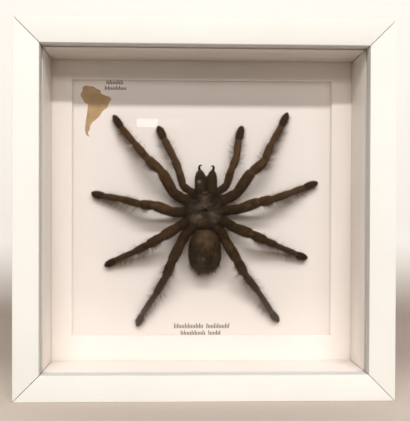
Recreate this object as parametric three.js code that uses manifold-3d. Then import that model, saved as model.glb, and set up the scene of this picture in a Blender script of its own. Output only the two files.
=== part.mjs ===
// A tarantula specimen in a deep square frame with glass, for a wall or a shelf.
// Millimetres, +Z up. The frame stands on its bottom rail at z = 0, its face looks along -Y,
// and +X is to the right of someone who looks at it.
import * as THREE from "three";
import { mergeVertices } from "three/addons/utils/BufferGeometryUtils.js";
import Module from "manifold-3d";

const wasm = await Module();
wasm.setup();

// ---------- Driving dimensions: the case ----------
const SIDE = 250; // the frame's outside width and height
const DEPTH = 45; // from the face to the rails' back edges
const HALF = SIDE / 2;
const FACE = 17.3; // width of the face of a rail
const LIP = 6.9; // thickness of the face, in front of the glass
const WALL = 12; // thickness of a rail behind its face
const GAP = 0.3; // play between pieces that touch
const GLASS = 2;
const SPACER_INSIDE = 17.5; // from the frame's outside to the inside of a spacer board
const MAT_FRONT = 36; // how deep the mat lies behind the face
const MAT = 2;
const MAT_BEVEL = 0.8; // how far the cut of the window slants
const WINDOW_WIDTH = 187;
const WINDOW_HEIGHT = 185;
const WINDOW_RISE = 2; // the window sits this much above the middle
const CARD = 0.8;
const PANEL = 2.5;
const TAB_WIDTH = 10;
const TAB_LENGTH = 13;
const TAB_THICKNESS = 0.5;
const TAB_GRIP = 4; // how deep a tab is driven into its rail
const TAB_SPACING = 120;
const HANGER_LENGTH = 44;
const HANGER_HEIGHT = 9;
const HANGER_THICKNESS = 0.7;
const HANGER_BRIDGE = 1; // how far the middle of the hanger stands off its ears
const HANGER_EAR = 8; // length of each flat end
const HANGER_SLOPE = 3; // length of the rise from an ear to the bridge
const HANGER_RISE = 88; // the hanger above the middle of the panel
const TOOTH_PITCH = 2.5;
const TEETH = 7;
const RIVET = { foot: 1.9, head: 1.4, height: 0.9 };

// ---------- Driving dimensions: the spider ----------
// Places are [across, up, height], where height is measured from the card towards the glass.
const BODY_X = 1.4; // the body's middle line
const CARAPACE = { middle: 126.1, length: 27.8, width: 27.6, rim: 7.6, rise: 6, rays: 8 };
const BREASTPLATE = { middle: 124.5, halfLength: 9.5, halfWidth: 5, height: 5, halfThickness: 4.6 };
const EYE_MOUND = { across: 0.8, up: 137.2, height: 12.2, size: [1.8, 1.4, 2] };
const ABDOMEN = { front: 111.8, rear: 82.3, width: 23.2, thickness: 17.2, clearance: 0.6, corner: 2.4 };

// How thick each stretch of a limb is at its middle, from the body outwards.
const LEG_STRETCHES = ["coxa", "trochanter", "femur", "patella", "tibia", "metatarsus", "tarsus"];
const LEG_WIDTHS = {
  1: { coxa: 7.4, trochanter: 7, femur: 7.3, patella: 6.3, tibia: 4.9, metatarsus: 4.1, tarsus: 5 },
  2: { coxa: 7.4, trochanter: 6.8, femur: 7, patella: 6.2, tibia: 4.8, metatarsus: 4.2, tarsus: 5.2 },
  3: { coxa: 7.2, trochanter: 6.6, femur: 7.1, patella: 6.2, tibia: 4.8, metatarsus: 3.8, tarsus: 5 },
  4: { coxa: 7.4, trochanter: 6.8, femur: 6.9, patella: 6.2, tibia: 4.6, metatarsus: 3.6, tarsus: 4.8 },
};
const PALP_STRETCHES = ["coxa", "trochanter", "femur", "patella", "tibia", "tarsus"];
const PALP_WIDTHS = { coxa: 5.6, trochanter: 5.2, femur: 5.1, patella: 5.3, tibia: 4.7, tarsus: 5.6 };

// Joints of each limb, from the breastplate to the tip.
const LEG_JOINTS = {
  leg_left_1: [[-4, 130.5, 5], [-13.5, 133, 7], [-20.8, 137.5, 9], [-28.7, 151.5, 16.5],
    [-38.3, 160.3, 13.5], [-48, 172, 8.5], [-57.5, 184, 4.2], [-63.9, 193.1, 2.8]],
  leg_left_2: [[-4, 125.5, 5], [-15, 124, 7], [-22, 124, 9], [-33.4, 128.5, 16.5],
    [-43, 129.1, 13.5], [-56.5, 132.9, 8.5], [-69.5, 135.3, 4.2], [-79.3, 137.3, 2.8]],
  leg_left_3: [[-4, 121, 5], [-12.8, 116.5, 7], [-18.3, 113, 9], [-27.6, 107.4, 16],
    [-37.9, 101.5, 13], [-47.5, 96.3, 8.5], [-61.5, 90, 4.2], [-69.8, 85.5, 2.8]],
  leg_left_4: [[-3.5, 116.5, 5], [-11.3, 109.5, 7], [-15.2, 103, 9], [-21.4, 90.7, 16.5],
    [-25.6, 79.8, 13.5], [-33, 66.4, 8.5], [-43, 51, 4.2], [-46.5, 42.3, 2.8]],
  leg_right_1: [[6.5, 130.5, 5], [16.2, 133.2, 7], [24.2, 137.5, 9], [32.6, 151.2, 16.5],
    [42.4, 159, 13.5], [48.1, 172, 8.5], [55.9, 185, 4.2], [61.2, 195.9, 2.8]],
  leg_right_2: [[6.5, 125.5, 5], [18.5, 125.5, 7], [25.5, 126.3, 9], [38, 130.9, 16.5],
    [47.5, 132.8, 13.5], [61, 137.4, 8.5], [72.4, 141.8, 4.2], [83.2, 145.8, 2.8]],
  leg_right_3: [[6.5, 121, 5], [16.8, 117, 7], [22, 113.3, 9], [32.5, 109.2, 16],
    [43, 104.4, 13], [51.5, 101, 8.5], [67, 94.4, 4.2], [75.9, 91.1, 2.8]],
  leg_right_4: [[6, 116.5, 5], [12.8, 110.5, 7], [15.9, 104.2, 9], [23, 91.5, 16.5],
    [28.6, 81.5, 13.5], [39, 68.6, 8.5], [49.4, 53.2, 4.2], [55.3, 45.2, 2.8]],
};
const PALP_JOINTS = {
  palp_left: [[-2.5, 135.5, 5], [-9.5, 139.3, 6.5], [-14, 142.2, 8], [-16.9, 152.4, 13],
    [-19.7, 160, 10.5], [-27.1, 175.5, 5], [-32, 185.6, 3]],
  palp_right: [[5.5, 135.5, 5], [12, 139.5, 6.5], [16.7, 142.5, 8], [19.6, 153.7, 13],
    [23.5, 162.3, 10.5], [25.4, 175, 5], [28.3, 186.1, 3]],
};
const CHELICERAE = {
  chelicera_left: { joints: [[-1.6, 137.5, 8], [-1.7, 147.5, 7.5], [-2.1, 154.4, 5.5]], width: 8 },
  chelicera_right: { joints: [[6.3, 137.5, 8], [6.5, 147.5, 7.5], [7.3, 154.4, 5.5]], width: 7.2 },
};
const FANGS = {
  fang_left: [[-2.3, 154, 5.6], [-2.4, 156.3, 5.3], [-1.4, 157.7, 4.5], [0, 157, 3.6]],
  fang_right: [[7.4, 154, 5.6], [7.8, 156, 5.3], [7.1, 157.2, 4.5], [5.8, 156.4, 3.6]],
};
const SPINNERETS = {
  spinneret_left: [[-0.8, 85.5, 5.4], [-1.9, 82, 4.4], [-2.8, 79, 3.2]],
  spinneret_right: [[3.5, 85.5, 5.4], [4, 82.8, 4.4], [4.4, 80.2, 3.2]],
};
const SHORT_STRETCH = 11; // a stretch up to this long has one ring less
const KNEE_BEND = 2.2; // how far to each side of a joint its bend reaches
const NECK = 0.44; // a joint's radius as a share of the thinner stretch beside it
const TIP_NECK = 0.37; // the same before the last stretch, whose pad stands out
const SIDES = 10; // sides of a limb's section

// ---------- Depths that follow, measured from the face ----------
const FACE_Y = -DEPTH / 2;
const GLASS_FRONT = LIP + GAP;
const SPACER_FRONT = GLASS_FRONT + GLASS + GAP;
const CARD_FRONT = MAT_FRONT + MAT + GAP;
const PANEL_FRONT = CARD_FRONT + CARD + GAP;
const TAB_FRONT = PANEL_FRONT + PANEL + GAP;
const REBATE = HALF - WALL - GAP; // half the side of what lies between the rails' walls

// ---------- Materials ----------
const material = (color, roughness, metalness = 0) =>
  new THREE.MeshStandardMaterial({ color, roughness, metalness });
const creamLacquer = material("#ece4d8", 0.5);
const whiteBoard = material("#f1ece4", 0.8);
const matPaper = material("#ece5db", 0.9);
const cardPaper = material("#f3eee7", 0.85);
const hardboard = material("#7d5a3c", 0.8);
const steel = material("#a8a8a6", 0.35, 1);
const clearGlass = material("#eef4f2", 0.05);
clearGlass.transparent = true;
clearGlass.opacity = 0.2;
const brownHair = material("#4a3829", 0.85);
const darkHair = material("#3a2c20", 0.85);
const carapaceSkin = material("#54453a", 0.6);
const abdomenHair = material("#574230", 0.9);
const fangHorn = material("#3a1f14", 0.3);

// ---------- Solids ----------

/** The solid of a closed geometry. Faces that a pole folds to nothing are left out. */
function toSolid(geometry) {
  const loose = geometry.index ? geometry.toNonIndexed() : geometry;
  const bare = new THREE.BufferGeometry();
  bare.setAttribute("position", loose.getAttribute("position"));
  const merged = mergeVertices(bare, 1e-4);
  const corners = merged.index.array;
  const kept = [];
  for (let i = 0; i < corners.length; i += 3) {
    const [a, b, c] = [corners[i], corners[i + 1], corners[i + 2]];
    if (a !== b && b !== c && c !== a) kept.push(a, b, c);
  }
  const vertProperties = merged.attributes.position.array;
  return new wasm.Manifold(
    new wasm.Mesh({ numProp: 3, vertProperties, triVerts: new Uint32Array(kept) }),
  );
}

/** A named mesh of a solid. */
function meshOf(name, solid, finish) {
  const { numProp, vertProperties, triVerts } = solid.getMesh();
  const places = new Float32Array((vertProperties.length / numProp) * 3);
  for (let i = 0; i < places.length / 3; i += 1) {
    places.set(vertProperties.subarray(i * numProp, i * numProp + 3), i * 3);
  }
  const geometry = new THREE.BufferGeometry();
  geometry.setAttribute("position", new THREE.BufferAttribute(places, 3));
  geometry.setIndex(new THREE.BufferAttribute(triVerts, 1));
  geometry.computeVertexNormals();
  const mesh = new THREE.Mesh(geometry, finish);
  mesh.name = name;
  return mesh;
}

/** A flat piece with the outline of points [across, up], whose front is at a depth behind the face. */
function plate(points, front, thickness) {
  const outline = new THREE.Shape(points.map(([x, z]) => new THREE.Vector2(x, z)));
  const geometry = new THREE.ExtrudeGeometry(outline, { depth: thickness, bevelEnabled: false });
  geometry.rotateX(Math.PI / 2);
  geometry.translate(0, FACE_Y + front + thickness, 0);
  return toSolid(geometry);
}

/** A box of the given size about [across, up], whose front is at a depth behind the face. */
function block(width, height, thickness, [x, z], front) {
  const geometry = new THREE.BoxGeometry(width, thickness, height);
  geometry.translate(x, FACE_Y + front + thickness / 2, z);
  return toSolid(geometry);
}

/** The outline of the lower one of four mitred strips around a square. */
function mitred(outside, inside) {
  const cut = (GAP / 2) * Math.SQRT2;
  return [
    [-outside + cut, -outside], [outside - cut, -outside],
    [inside - cut, -inside], [-inside + cut, -inside],
  ];
}

// ---------- The case, built about the middle of the square ----------

const QUARTERS = { bottom: 0, right: 1, top: 2, left: 3 };

/** Four copies of a lower strip, turned to the four sides. */
function onFourSides(prefix, solid, finish) {
  return Object.entries(QUARTERS).map(([side, quarter]) => {
    const mesh = meshOf(prefix + side, solid, finish);
    mesh.rotation.y = (-quarter * Math.PI) / 2;
    return mesh;
  });
}

/** A rail: a face strip in front of the glass and a wall behind it, with slots for its two tabs. */
function rail() {
  const lip = plate(mitred(HALF, HALF - FACE), 0, LIP);
  const wall = plate(mitred(HALF, HALF - WALL), 0, DEPTH);
  let solid = lip.add(wall);
  for (const x of [-TAB_SPACING / 2, TAB_SPACING / 2]) {
    const slot = block(
      TAB_WIDTH + 2 * GAP,
      2 * (TAB_GRIP + GAP),
      TAB_THICKNESS + 2 * GAP,
      [x, -(HALF - WALL)],
      TAB_FRONT - GAP,
    );
    solid = solid.subtract(slot);
  }
  return solid;
}

/** The mat, with a window whose edges slant down to the card. */
function mat() {
  const sheet = block(2 * REBATE, 2 * REBATE, MAT, [0, 0], MAT_FRONT);
  const outset = MAT_BEVEL / MAT;
  const over = 1; // the cutter passes both faces by this much
  const spread = (distance) => {
    const halfWidth = WINDOW_WIDTH / 2 + distance * outset;
    const halfHeight = WINDOW_HEIGHT / 2 + distance * outset;
    return { halfWidth, halfHeight };
  };
  const front = spread(over);
  const back = spread(-MAT - over);
  const cutter = new THREE.BoxGeometry(2, MAT + 2 * over, 2);
  const corners = cutter.getAttribute("position");
  for (let i = 0; i < corners.count; i += 1) {
    const reach = corners.getY(i) < 0 ? front : back;
    corners.setX(i, corners.getX(i) * reach.halfWidth);
    corners.setZ(i, corners.getZ(i) * reach.halfHeight);
  }
  cutter.translate(0, FACE_Y + MAT_FRONT + MAT / 2, WINDOW_RISE);
  return sheet.subtract(toSolid(cutter));
}

/** Flat steel tabs, driven into the rails and lying over the back panel. */
function tabs() {
  const strip = block(
    TAB_WIDTH,
    TAB_LENGTH,
    TAB_THICKNESS,
    [0, -(HALF - WALL) - TAB_GRIP + TAB_LENGTH / 2],
    TAB_FRONT,
  );
  return Object.entries(QUARTERS).map(([side, quarter]) => {
    const pair = new THREE.Group();
    pair.rotation.y = (-quarter * Math.PI) / 2;
    [-1, 1].forEach((way, i) => {
      const tab = meshOf(`tab_${side}_${i + 1}`, strip, steel);
      tab.position.x = (way * TAB_SPACING) / 2;
      pair.add(tab);
    });
    return pair;
  });
}

/** A strip with a bridge between two riveted ears, and teeth along the lower edge of the bridge. */
function hanger() {
  const reach = HANGER_LENGTH / 2;
  const bridge = reach - HANGER_EAR - HANGER_SLOPE;
  const underside = [
    [-reach, 0], [-reach + HANGER_EAR, 0], [-bridge, HANGER_BRIDGE],
    [bridge, HANGER_BRIDGE], [reach - HANGER_EAR, 0], [reach, 0],
  ];
  const outside = underside.map(([x, y]) => [x, y + HANGER_THICKNESS]).reverse();
  const side = new THREE.Shape([...underside, ...outside].map(([x, y]) => new THREE.Vector2(x, y)));
  const strip = new THREE.ExtrudeGeometry(side, { depth: HANGER_HEIGHT, bevelEnabled: false });
  strip.translate(0, 0, -HANGER_HEIGHT / 2);
  let solid = toSolid(strip);
  const toothSize = 0.55 * TOOTH_PITCH;
  const through = 8; // the cutter passes both faces of the bridge
  for (let i = 0; i < TEETH; i += 1) {
    const notch = new THREE.CylinderGeometry(toothSize, toothSize, through, 3);
    notch.translate((i - (TEETH - 1) / 2) * TOOTH_PITCH, 0, -HANGER_HEIGHT / 2);
    solid = solid.subtract(toSolid(notch));
  }
  for (const x of [-reach + HANGER_EAR / 2, reach - HANGER_EAR / 2]) {
    const rivet = new THREE.CylinderGeometry(RIVET.head, RIVET.foot, RIVET.height, 10);
    rivet.translate(x, HANGER_THICKNESS + 0.2, 0);
    solid = solid.add(toSolid(rivet));
  }
  const mesh = meshOf("hanger", solid, steel);
  mesh.position.set(0, FACE_Y + TAB_FRONT, HANGER_RISE);
  return mesh;
}

function buildCase() {
  const group = new THREE.Group();
  group.position.z = HALF;
  const square = 2 * REBATE;
  const spacerDepth = MAT_FRONT - GAP - SPACER_FRONT;
  const spacer = plate(mitred(REBATE, HALF - SPACER_INSIDE), SPACER_FRONT, spacerDepth);
  group.add(
    ...onFourSides("rail_", rail(), creamLacquer),
    meshOf("glass_pane", block(square, square, GLASS, [0, 0], GLASS_FRONT), clearGlass),
    ...onFourSides("spacer_", spacer, whiteBoard),
    meshOf("mat", mat(), matPaper),
    meshOf("card", block(square, square, CARD, [0, 0], CARD_FRONT), cardPaper),
    meshOf("back_panel", block(square, square, PANEL, [0, 0], PANEL_FRONT), hardboard),
    ...tabs(),
    hanger(),
  );
  return group;
}

// ---------- The spider, built on the card ----------

/** The point at [across, up, height above the card]. */
const at = ([x, z, height]) => new THREE.Vector3(x, FACE_Y + CARD_FRONT - height, z);

/** Straight runs between joints, with a short bend at each. */
function jointedPath(joints) {
  const points = joints.map(at);
  const path = new THREE.CurvePath();
  let from = points[0];
  for (let i = 1; i < points.length - 1; i += 1) {
    const here = points[i];
    const towards = (other) => here.clone().lerp(other, KNEE_BEND / here.distanceTo(other));
    const before = towards(points[i - 1]);
    const after = towards(points[i + 1]);
    path.add(new THREE.LineCurve3(from, before));
    path.add(new THREE.QuadraticBezierCurve3(before, here, after));
    from = after;
  }
  path.add(new THREE.LineCurve3(from, points.at(-1)));
  return path;
}

/** Turns a round profile of [distance, radius] pairs along a path. */
function alongPath(path, profile, { sides = SIDES, tall = 1 } = {}) {
  const length = path.getLength();
  const points = profile.map(([distance, radius]) => new THREE.Vector2(radius, distance * length));
  const geometry = new THREE.LatheGeometry(points, sides);
  const places = geometry.getAttribute("position");
  for (let i = 0; i < places.count; i += 1) {
    const share = THREE.MathUtils.clamp(places.getY(i) / length, 0, 1);
    const middle = path.getPoint(share);
    const along = path.getTangent(share);
    const up = new THREE.Vector3(0, -1, 0);
    up.addScaledVector(along, -up.dot(along)).normalize();
    const across = along.clone().cross(up);
    middle.addScaledVector(across, places.getX(i));
    middle.addScaledVector(up, places.getZ(i) * tall);
    places.setXYZ(i, middle.x, middle.y, middle.z);
  }
  return toSolid(geometry);
}

/** The profile of a limb: each stretch swells between two necks, and the last ends in a round tip. */
function limbProfile(joints, stretches, widths, grow) {
  const lengths = joints.slice(1).map((joint, i) => at(joint).distanceTo(at(joints[i])));
  const total = lengths.reduce((sum, length) => sum + length, 0);
  const profile = [[0, 0], [0, 0.3 * widths[stretches[0]] + grow]];
  let start = 0;
  stretches.forEach((stretch, i) => {
    const radius = widths[stretch] / 2;
    const put = (share, size) => {
      profile.push([(start + share * lengths[i]) / total, radius * size + grow]);
    };
    if (i === stretches.length - 1) {
      put(0.12, 0.88);
      put(0.45, 1);
      put(0.85, 0.84);
      put(0.975, 0.4);
      profile.push([1, 0]);
      return;
    }
    put(0.2, 0.94);
    if (lengths[i] > SHORT_STRETCH) put(0.48, 1);
    put(0.8, 0.95);
    const slim = i === stretches.length - 2 ? TIP_NECK : NECK;
    const neck = slim * Math.min(widths[stretch], widths[stretches[i + 1]]);
    profile.push([(start + lengths[i]) / total, neck + grow]);
    start += lengths[i];
  });
  return profile;
}

const limb = (joints, stretches, widths, grow = 0) =>
  alongPath(jointedPath(joints), limbProfile(joints, stretches, widths, grow));

/** A unit ball whose every point is moved by a function of where it was. */
function shapedBall(across, around, place) {
  const geometry = new THREE.SphereGeometry(1, across, around);
  const places = geometry.getAttribute("position");
  for (let i = 0; i < places.count; i += 1) {
    const point = at(place(places.getX(i), places.getZ(i), places.getY(i)));
    places.setXYZ(i, point.x, point.y, point.z);
  }
  return toSolid(geometry);
}

const hump = (x, z, size) => Math.exp(-(x * x + z * z) / (size * size));

/** The head and thorax: a domed carapace with a pit, rays and an eye mound, over the breastplate. */
function cephalothorax(grow = 0) {
  const { middle, length, width, rim, rise, rays } = CARAPACE;
  const corner = 2.5; // how square the outline is: 2 is an ellipse
  const squared = (share) => Math.abs(share) ** corner;
  const carapace = shapedBall(32, 13, (a, b, c) => {
    const turn = Math.atan2(a, b);
    const square = (squared(Math.sin(turn)) + squared(Math.cos(turn))) ** (-1 / corner);
    const headward = Math.max(0, b);
    const upper = Math.max(0, c);
    const x = -a * square * (width / 2 + grow) * (1 - 0.3 * headward ** 1.5);
    const z = b * square * (length / 2 + grow);
    const dome = c > 0 ? rise * c ** 0.85 : 1.6 * c;
    const head = 1.5 * upper * hump(x, z - 6, 6.5);
    const pit = 1.7 * hump(x * 0.8, z + 1.5, 1.9);
    const ray = Math.max(0, -Math.cos(rays * turn)) ** 2;
    const groove = 0.6 * ray * upper * (1 - hump(x, z, 4)) * (1 - hump(x, z - length / 2, 5));
    const rearSlope = 1.2 * Math.max(0, -b) * upper;
    const height = rim + dome + head - pit - groove - rearSlope;
    return [BODY_X + x, middle + z, height + Math.sign(c) * grow];
  });
  const under = BREASTPLATE;
  const breastplate = shapedBall(14, 8, (a, b, c) => [
    BODY_X - a * (under.halfWidth + grow),
    under.middle + b * (under.halfLength + grow),
    under.height + c * (under.halfThickness + grow),
  ]);
  const { across, up, height, size } = EYE_MOUND;
  const eyes = shapedBall(10, 6, (a, b, c) => [
    across - a * (size[0] + grow),
    up + b * (size[1] + grow),
    height + c * (size[2] + grow),
  ]);
  return carapace.add(breastplate).add(eyes);
}

/** The abdomen: a blunt egg, broadest behind its middle, a little sunken as dried ones are. */
function abdomen(grow = 0) {
  const { front, rear, width, thickness, clearance, corner } = ABDOMEN;
  // The ball's poles lie at the front and the rear.
  return shapedBall(20, 15, (a, b, along) => {
    const round = Math.sqrt(Math.max(0, 1 - along * along));
    const blunt = round > 0.01 ? (1 - Math.abs(along) ** corner) ** (1 / corner) / round : 1;
    const broad = blunt * (1 - 0.06 * along);
    const x = a * ((width / 2) * broad + grow);
    const z = (front + rear) / 2 + along * ((front - rear) / 2 + grow);
    const upper = Math.max(0, b);
    const dent = 0.9 * upper * hump(x + 3.5, z - 93, 6);
    const fold = 0.35 * upper * Math.cos(along * 9) * Math.abs(a);
    const height = clearance + thickness / 2 + b * ((thickness / 2) * broad + grow);
    return [BODY_X + x, z, height - dent - fold];
  });
}

/** A stout tapering piece along its joints, for a chelicera, a fang or a spinneret. */
function taper(joints, profile, options) {
  return alongPath(new THREE.CatmullRomCurve3(joints.map(at)), profile, options);
}

const CHELICERA_PROFILE = [
  [0, 0], [0.01, 0.38], [0.15, 0.49], [0.45, 0.5], [0.65, 0.46], [0.8, 0.36],
  [0.92, 0.2], [0.99, 0.1], [1, 0],
];
const cheliceraProfile = (width, grow) =>
  CHELICERA_PROFILE.map(([distance, share]) => [distance, share ? share * width + grow : 0]);
const FANG_PROFILE = [[0, 0], [0.02, 1.05], [0.3, 0.95], [0.6, 0.7], [0.85, 0.36], [1, 0]];
const SPINNERET_PROFILE = [
  [0, 0], [0.03, 1.1], [0.4, 1.1], [0.55, 0.9], [0.8, 0.8], [0.95, 0.45], [1, 0],
];

function buildSpider() {
  const group = new THREE.Group();
  group.name = "spider";
  const thorax = cephalothorax();
  const thoraxWithPlay = cephalothorax(GAP);
  group.add(meshOf("cephalothorax", thorax, carapaceSkin));
  group.add(meshOf("abdomen", abdomen().subtract(thoraxWithPlay), abdomenHair));

  // Each piece is cut back by the play from those it meets that were made before it.
  const cutBack = (solid, others) => others.reduce((left, other) => left.subtract(other), solid);

  const chelicerae = Object.entries(CHELICERAE).map(([name, { joints, width }]) => {
    const make = (grow) => taper(joints, cheliceraProfile(width, grow), { sides: 10, tall: 1.08 });
    group.add(meshOf(name, make(0).subtract(thoraxWithPlay), brownHair));
    return make(GAP);
  });
  for (const [name, joints] of Object.entries(FANGS)) {
    const fang = taper(joints, FANG_PROFILE, { sides: 8 });
    group.add(meshOf(name, cutBack(fang, chelicerae), fangHorn));
  }

  const neighbours = {
    left: [...chelicerae, thoraxWithPlay],
    right: [...chelicerae, thoraxWithPlay],
  };
  const addLimb = (name, joints, stretches, widths, finish) => {
    const near = neighbours[name.includes("left") ? "left" : "right"];
    group.add(meshOf(name, cutBack(limb(joints, stretches, widths), near), finish));
    near.push(limb(joints, stretches, widths, GAP));
  };
  for (const [name, joints] of Object.entries(PALP_JOINTS)) {
    addLimb(name, joints, PALP_STRETCHES, PALP_WIDTHS, darkHair);
  }
  for (const [name, joints] of Object.entries(LEG_JOINTS)) {
    addLimb(name, joints, LEG_STRETCHES, LEG_WIDTHS[name.at(-1)], brownHair);
  }

  const abdomenWithPlay = abdomen(GAP);
  for (const [name, joints] of Object.entries(SPINNERETS)) {
    const spinneret = taper(joints, SPINNERET_PROFILE, { sides: 8 });
    group.add(meshOf(name, spinneret.subtract(abdomenWithPlay), brownHair));
  }
  return group;
}

const framedTarantula = new THREE.Group();
framedTarantula.name = "framed_tarantula";
framedTarantula.add(buildCase(), buildSpider());

export default framedTarantula;
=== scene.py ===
"""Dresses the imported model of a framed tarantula: coated rails, glass, boards, printed card,
the back's fittings, and the hairy spider itself. Metres, +Z up, the glass faces -Y."""

import math

import bmesh
import bpy
import numpy as np
from bpy.props import FloatProperty, FloatVectorProperty, IntProperty, PointerProperty
from mathutils import Matrix, Vector


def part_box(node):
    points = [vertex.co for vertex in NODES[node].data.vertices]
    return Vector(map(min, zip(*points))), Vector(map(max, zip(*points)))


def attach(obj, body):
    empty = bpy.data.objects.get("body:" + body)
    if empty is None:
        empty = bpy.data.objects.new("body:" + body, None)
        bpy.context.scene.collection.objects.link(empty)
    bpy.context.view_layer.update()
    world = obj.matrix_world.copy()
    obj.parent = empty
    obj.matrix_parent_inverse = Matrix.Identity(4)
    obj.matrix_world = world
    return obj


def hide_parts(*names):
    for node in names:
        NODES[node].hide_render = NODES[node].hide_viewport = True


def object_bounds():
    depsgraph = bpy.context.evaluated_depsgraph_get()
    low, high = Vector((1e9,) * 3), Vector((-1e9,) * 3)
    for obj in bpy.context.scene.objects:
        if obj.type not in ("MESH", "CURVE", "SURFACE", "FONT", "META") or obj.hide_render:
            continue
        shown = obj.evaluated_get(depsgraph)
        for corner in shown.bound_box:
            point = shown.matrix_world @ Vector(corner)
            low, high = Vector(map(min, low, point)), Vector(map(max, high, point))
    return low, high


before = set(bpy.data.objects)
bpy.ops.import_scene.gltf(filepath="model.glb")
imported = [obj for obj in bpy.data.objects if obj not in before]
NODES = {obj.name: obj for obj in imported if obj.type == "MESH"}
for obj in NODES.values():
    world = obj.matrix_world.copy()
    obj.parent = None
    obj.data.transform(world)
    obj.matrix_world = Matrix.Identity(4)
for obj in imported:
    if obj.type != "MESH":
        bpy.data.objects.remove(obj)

bl_info = {
    "name": "Framed Tarantula",
    "version": (1, 0, 0),
    "blender": (4, 5, 0),
    "location": "View3D > Sidebar > Specimen",
    "description": "Builds the finish of a tarantula specimen in a deep frame with glass",
    "category": "Object",
}

CAD_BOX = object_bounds()
MM = 0.001
IMAGE_WIDTH, IMAGE_HEIGHT = 410, 421
SIDES = ("bottom", "right", "top", "left")

# ---------- Places on the card ----------
# [across, up, height above the card] in millimetres, as in the solids.
CARD_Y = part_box("card")[0].y
BODY_X = 1.4
# Widths of coxa, trochanter, femur, patella, tibia, metatarsus and tarsus, by pair of legs.
LEG_WIDTHS = {
    1: (7.4, 7.0, 7.3, 6.3, 4.9, 4.1, 5.0),
    2: (7.4, 6.8, 7.0, 6.2, 4.8, 4.2, 5.2),
    3: (7.2, 6.6, 7.1, 6.2, 4.8, 3.8, 5.0),
    4: (7.4, 6.8, 6.9, 6.2, 4.6, 3.6, 4.8),
}
# The same, but a palp has no metatarsus.
PALP_WIDTHS = (5.6, 5.2, 5.1, 5.3, 4.7, 5.6)
# How much of each leg's long hair hangs on the side that is lower in the case.
LOWER_FRINGE = {1: 0.46, 2: 0.22, 3: 0.36, 4: 0.3}
LEG_JOINTS = {
    "leg_left_1": [(-4, 130.5, 5), (-13.5, 133, 7), (-20.8, 137.5, 9), (-28.7, 151.5, 16.5),
                   (-38.3, 160.3, 13.5), (-48, 172, 8.5), (-57.5, 184, 4.2), (-63.9, 193.1, 2.8)],
    "leg_left_2": [(-4, 125.5, 5), (-15, 124, 7), (-22, 124, 9), (-33.4, 128.5, 16.5),
                   (-43, 129.1, 13.5), (-56.5, 132.9, 8.5), (-69.5, 135.3, 4.2),
                   (-79.3, 137.3, 2.8)],
    "leg_left_3": [(-4, 121, 5), (-12.8, 116.5, 7), (-18.3, 113, 9), (-27.6, 107.4, 16),
                   (-37.9, 101.5, 13), (-47.5, 96.3, 8.5), (-61.5, 90, 4.2), (-69.8, 85.5, 2.8)],
    "leg_left_4": [(-3.5, 116.5, 5), (-11.3, 109.5, 7), (-15.2, 103, 9), (-21.4, 90.7, 16.5),
                   (-25.6, 79.8, 13.5), (-33, 66.4, 8.5), (-43, 51, 4.2), (-46.5, 42.3, 2.8)],
    "leg_right_1": [(6.5, 130.5, 5), (16.2, 133.2, 7), (24.2, 137.5, 9), (32.6, 151.2, 16.5),
                    (42.4, 159, 13.5), (48.1, 172, 8.5), (55.9, 185, 4.2), (61.2, 195.9, 2.8)],
    "leg_right_2": [(6.5, 125.5, 5), (18.5, 125.5, 7), (25.5, 126.3, 9), (38, 130.9, 16.5),
                    (47.5, 132.8, 13.5), (61, 137.4, 8.5), (72.4, 141.8, 4.2), (83.2, 145.8, 2.8)],
    "leg_right_3": [(6.5, 121, 5), (16.8, 117, 7), (22, 113.3, 9), (32.5, 109.2, 16),
                    (43, 104.4, 13), (51.5, 101, 8.5), (67, 94.4, 4.2), (75.9, 91.1, 2.8)],
    "leg_right_4": [(6, 116.5, 5), (12.8, 110.5, 7), (15.9, 104.2, 9), (23, 91.5, 16.5),
                    (28.6, 81.5, 13.5), (39, 68.6, 8.5), (49.4, 53.2, 4.2), (55.3, 45.2, 2.8)],
}
PALP_JOINTS = {
    "palp_left": [(-2.5, 135.5, 5), (-9.5, 139.3, 6.5), (-14, 142.2, 8), (-16.9, 152.4, 13),
                  (-19.7, 160, 10.5), (-27.1, 175.5, 5), (-32, 185.6, 3)],
    "palp_right": [(5.5, 135.5, 5), (12, 139.5, 6.5), (16.7, 142.5, 8), (19.6, 153.7, 13),
                   (23.5, 162.3, 10.5), (25.4, 175, 5), (28.3, 186.1, 3)],
}
# The joints of each jaw and its width.
CHELICERAE = {
    "chelicera_left": ([(-1.6, 137.5, 8), (-1.7, 147.5, 7.5), (-2.1, 154.4, 5.5)], 8.0),
    "chelicera_right": ([(6.3, 137.5, 8), (6.5, 147.5, 7.5), (7.3, 154.4, 5.5)], 7.2),
}
# A bare spot on a jaw, where its hair is left off and a painted highlight lies on the skin: across
# and up.
BARE_GLINT_SPOTS = {"chelicera_left": (-2.8, 145.2)}
FANGS = {
    "fang_left": [(-2.3, 154, 5.6), (-2.4, 156.3, 5.3), (-1.4, 157.7, 4.5), (0, 157, 3.6)],
    "fang_right": [(7.4, 154, 5.6), (7.8, 156, 5.3), (7.1, 157.2, 4.5), (5.8, 156.4, 3.6)],
}
SPINNERETS = {
    "spinneret_left": [(-0.8, 85.5, 5.4), (-1.9, 82, 4.4), (-2.8, 79, 3.2)],
    "spinneret_right": [(3.5, 85.5, 5.4), (4, 82.8, 4.4), (4.4, 80.2, 3.2)],
}
# The eyes on their mound: across, up and radius.
EYES = (
    (0.25, 137.3, 0.42), (1.35, 137.3, 0.42), (-0.5, 137.9, 0.34),
    (2.1, 137.9, 0.34), (-0.6, 136.7, 0.3), (2.2, 136.7, 0.3),
)
# How far the skins lie inside the solids, in millimetres. The limbs' is a setting.
CARAPACE_DEPTH, ABDOMEN_DEPTH, JAW_DEPTH, SPINNERET_DEPTH = 0.3, 0.7, 0.05, 0.2
UP, DOWN = np.array([0, 0, 1.0]), np.array([0, 0, -1.0])
ALONG_CASE = [0, 2]


# ---------- Settings ----------


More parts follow.
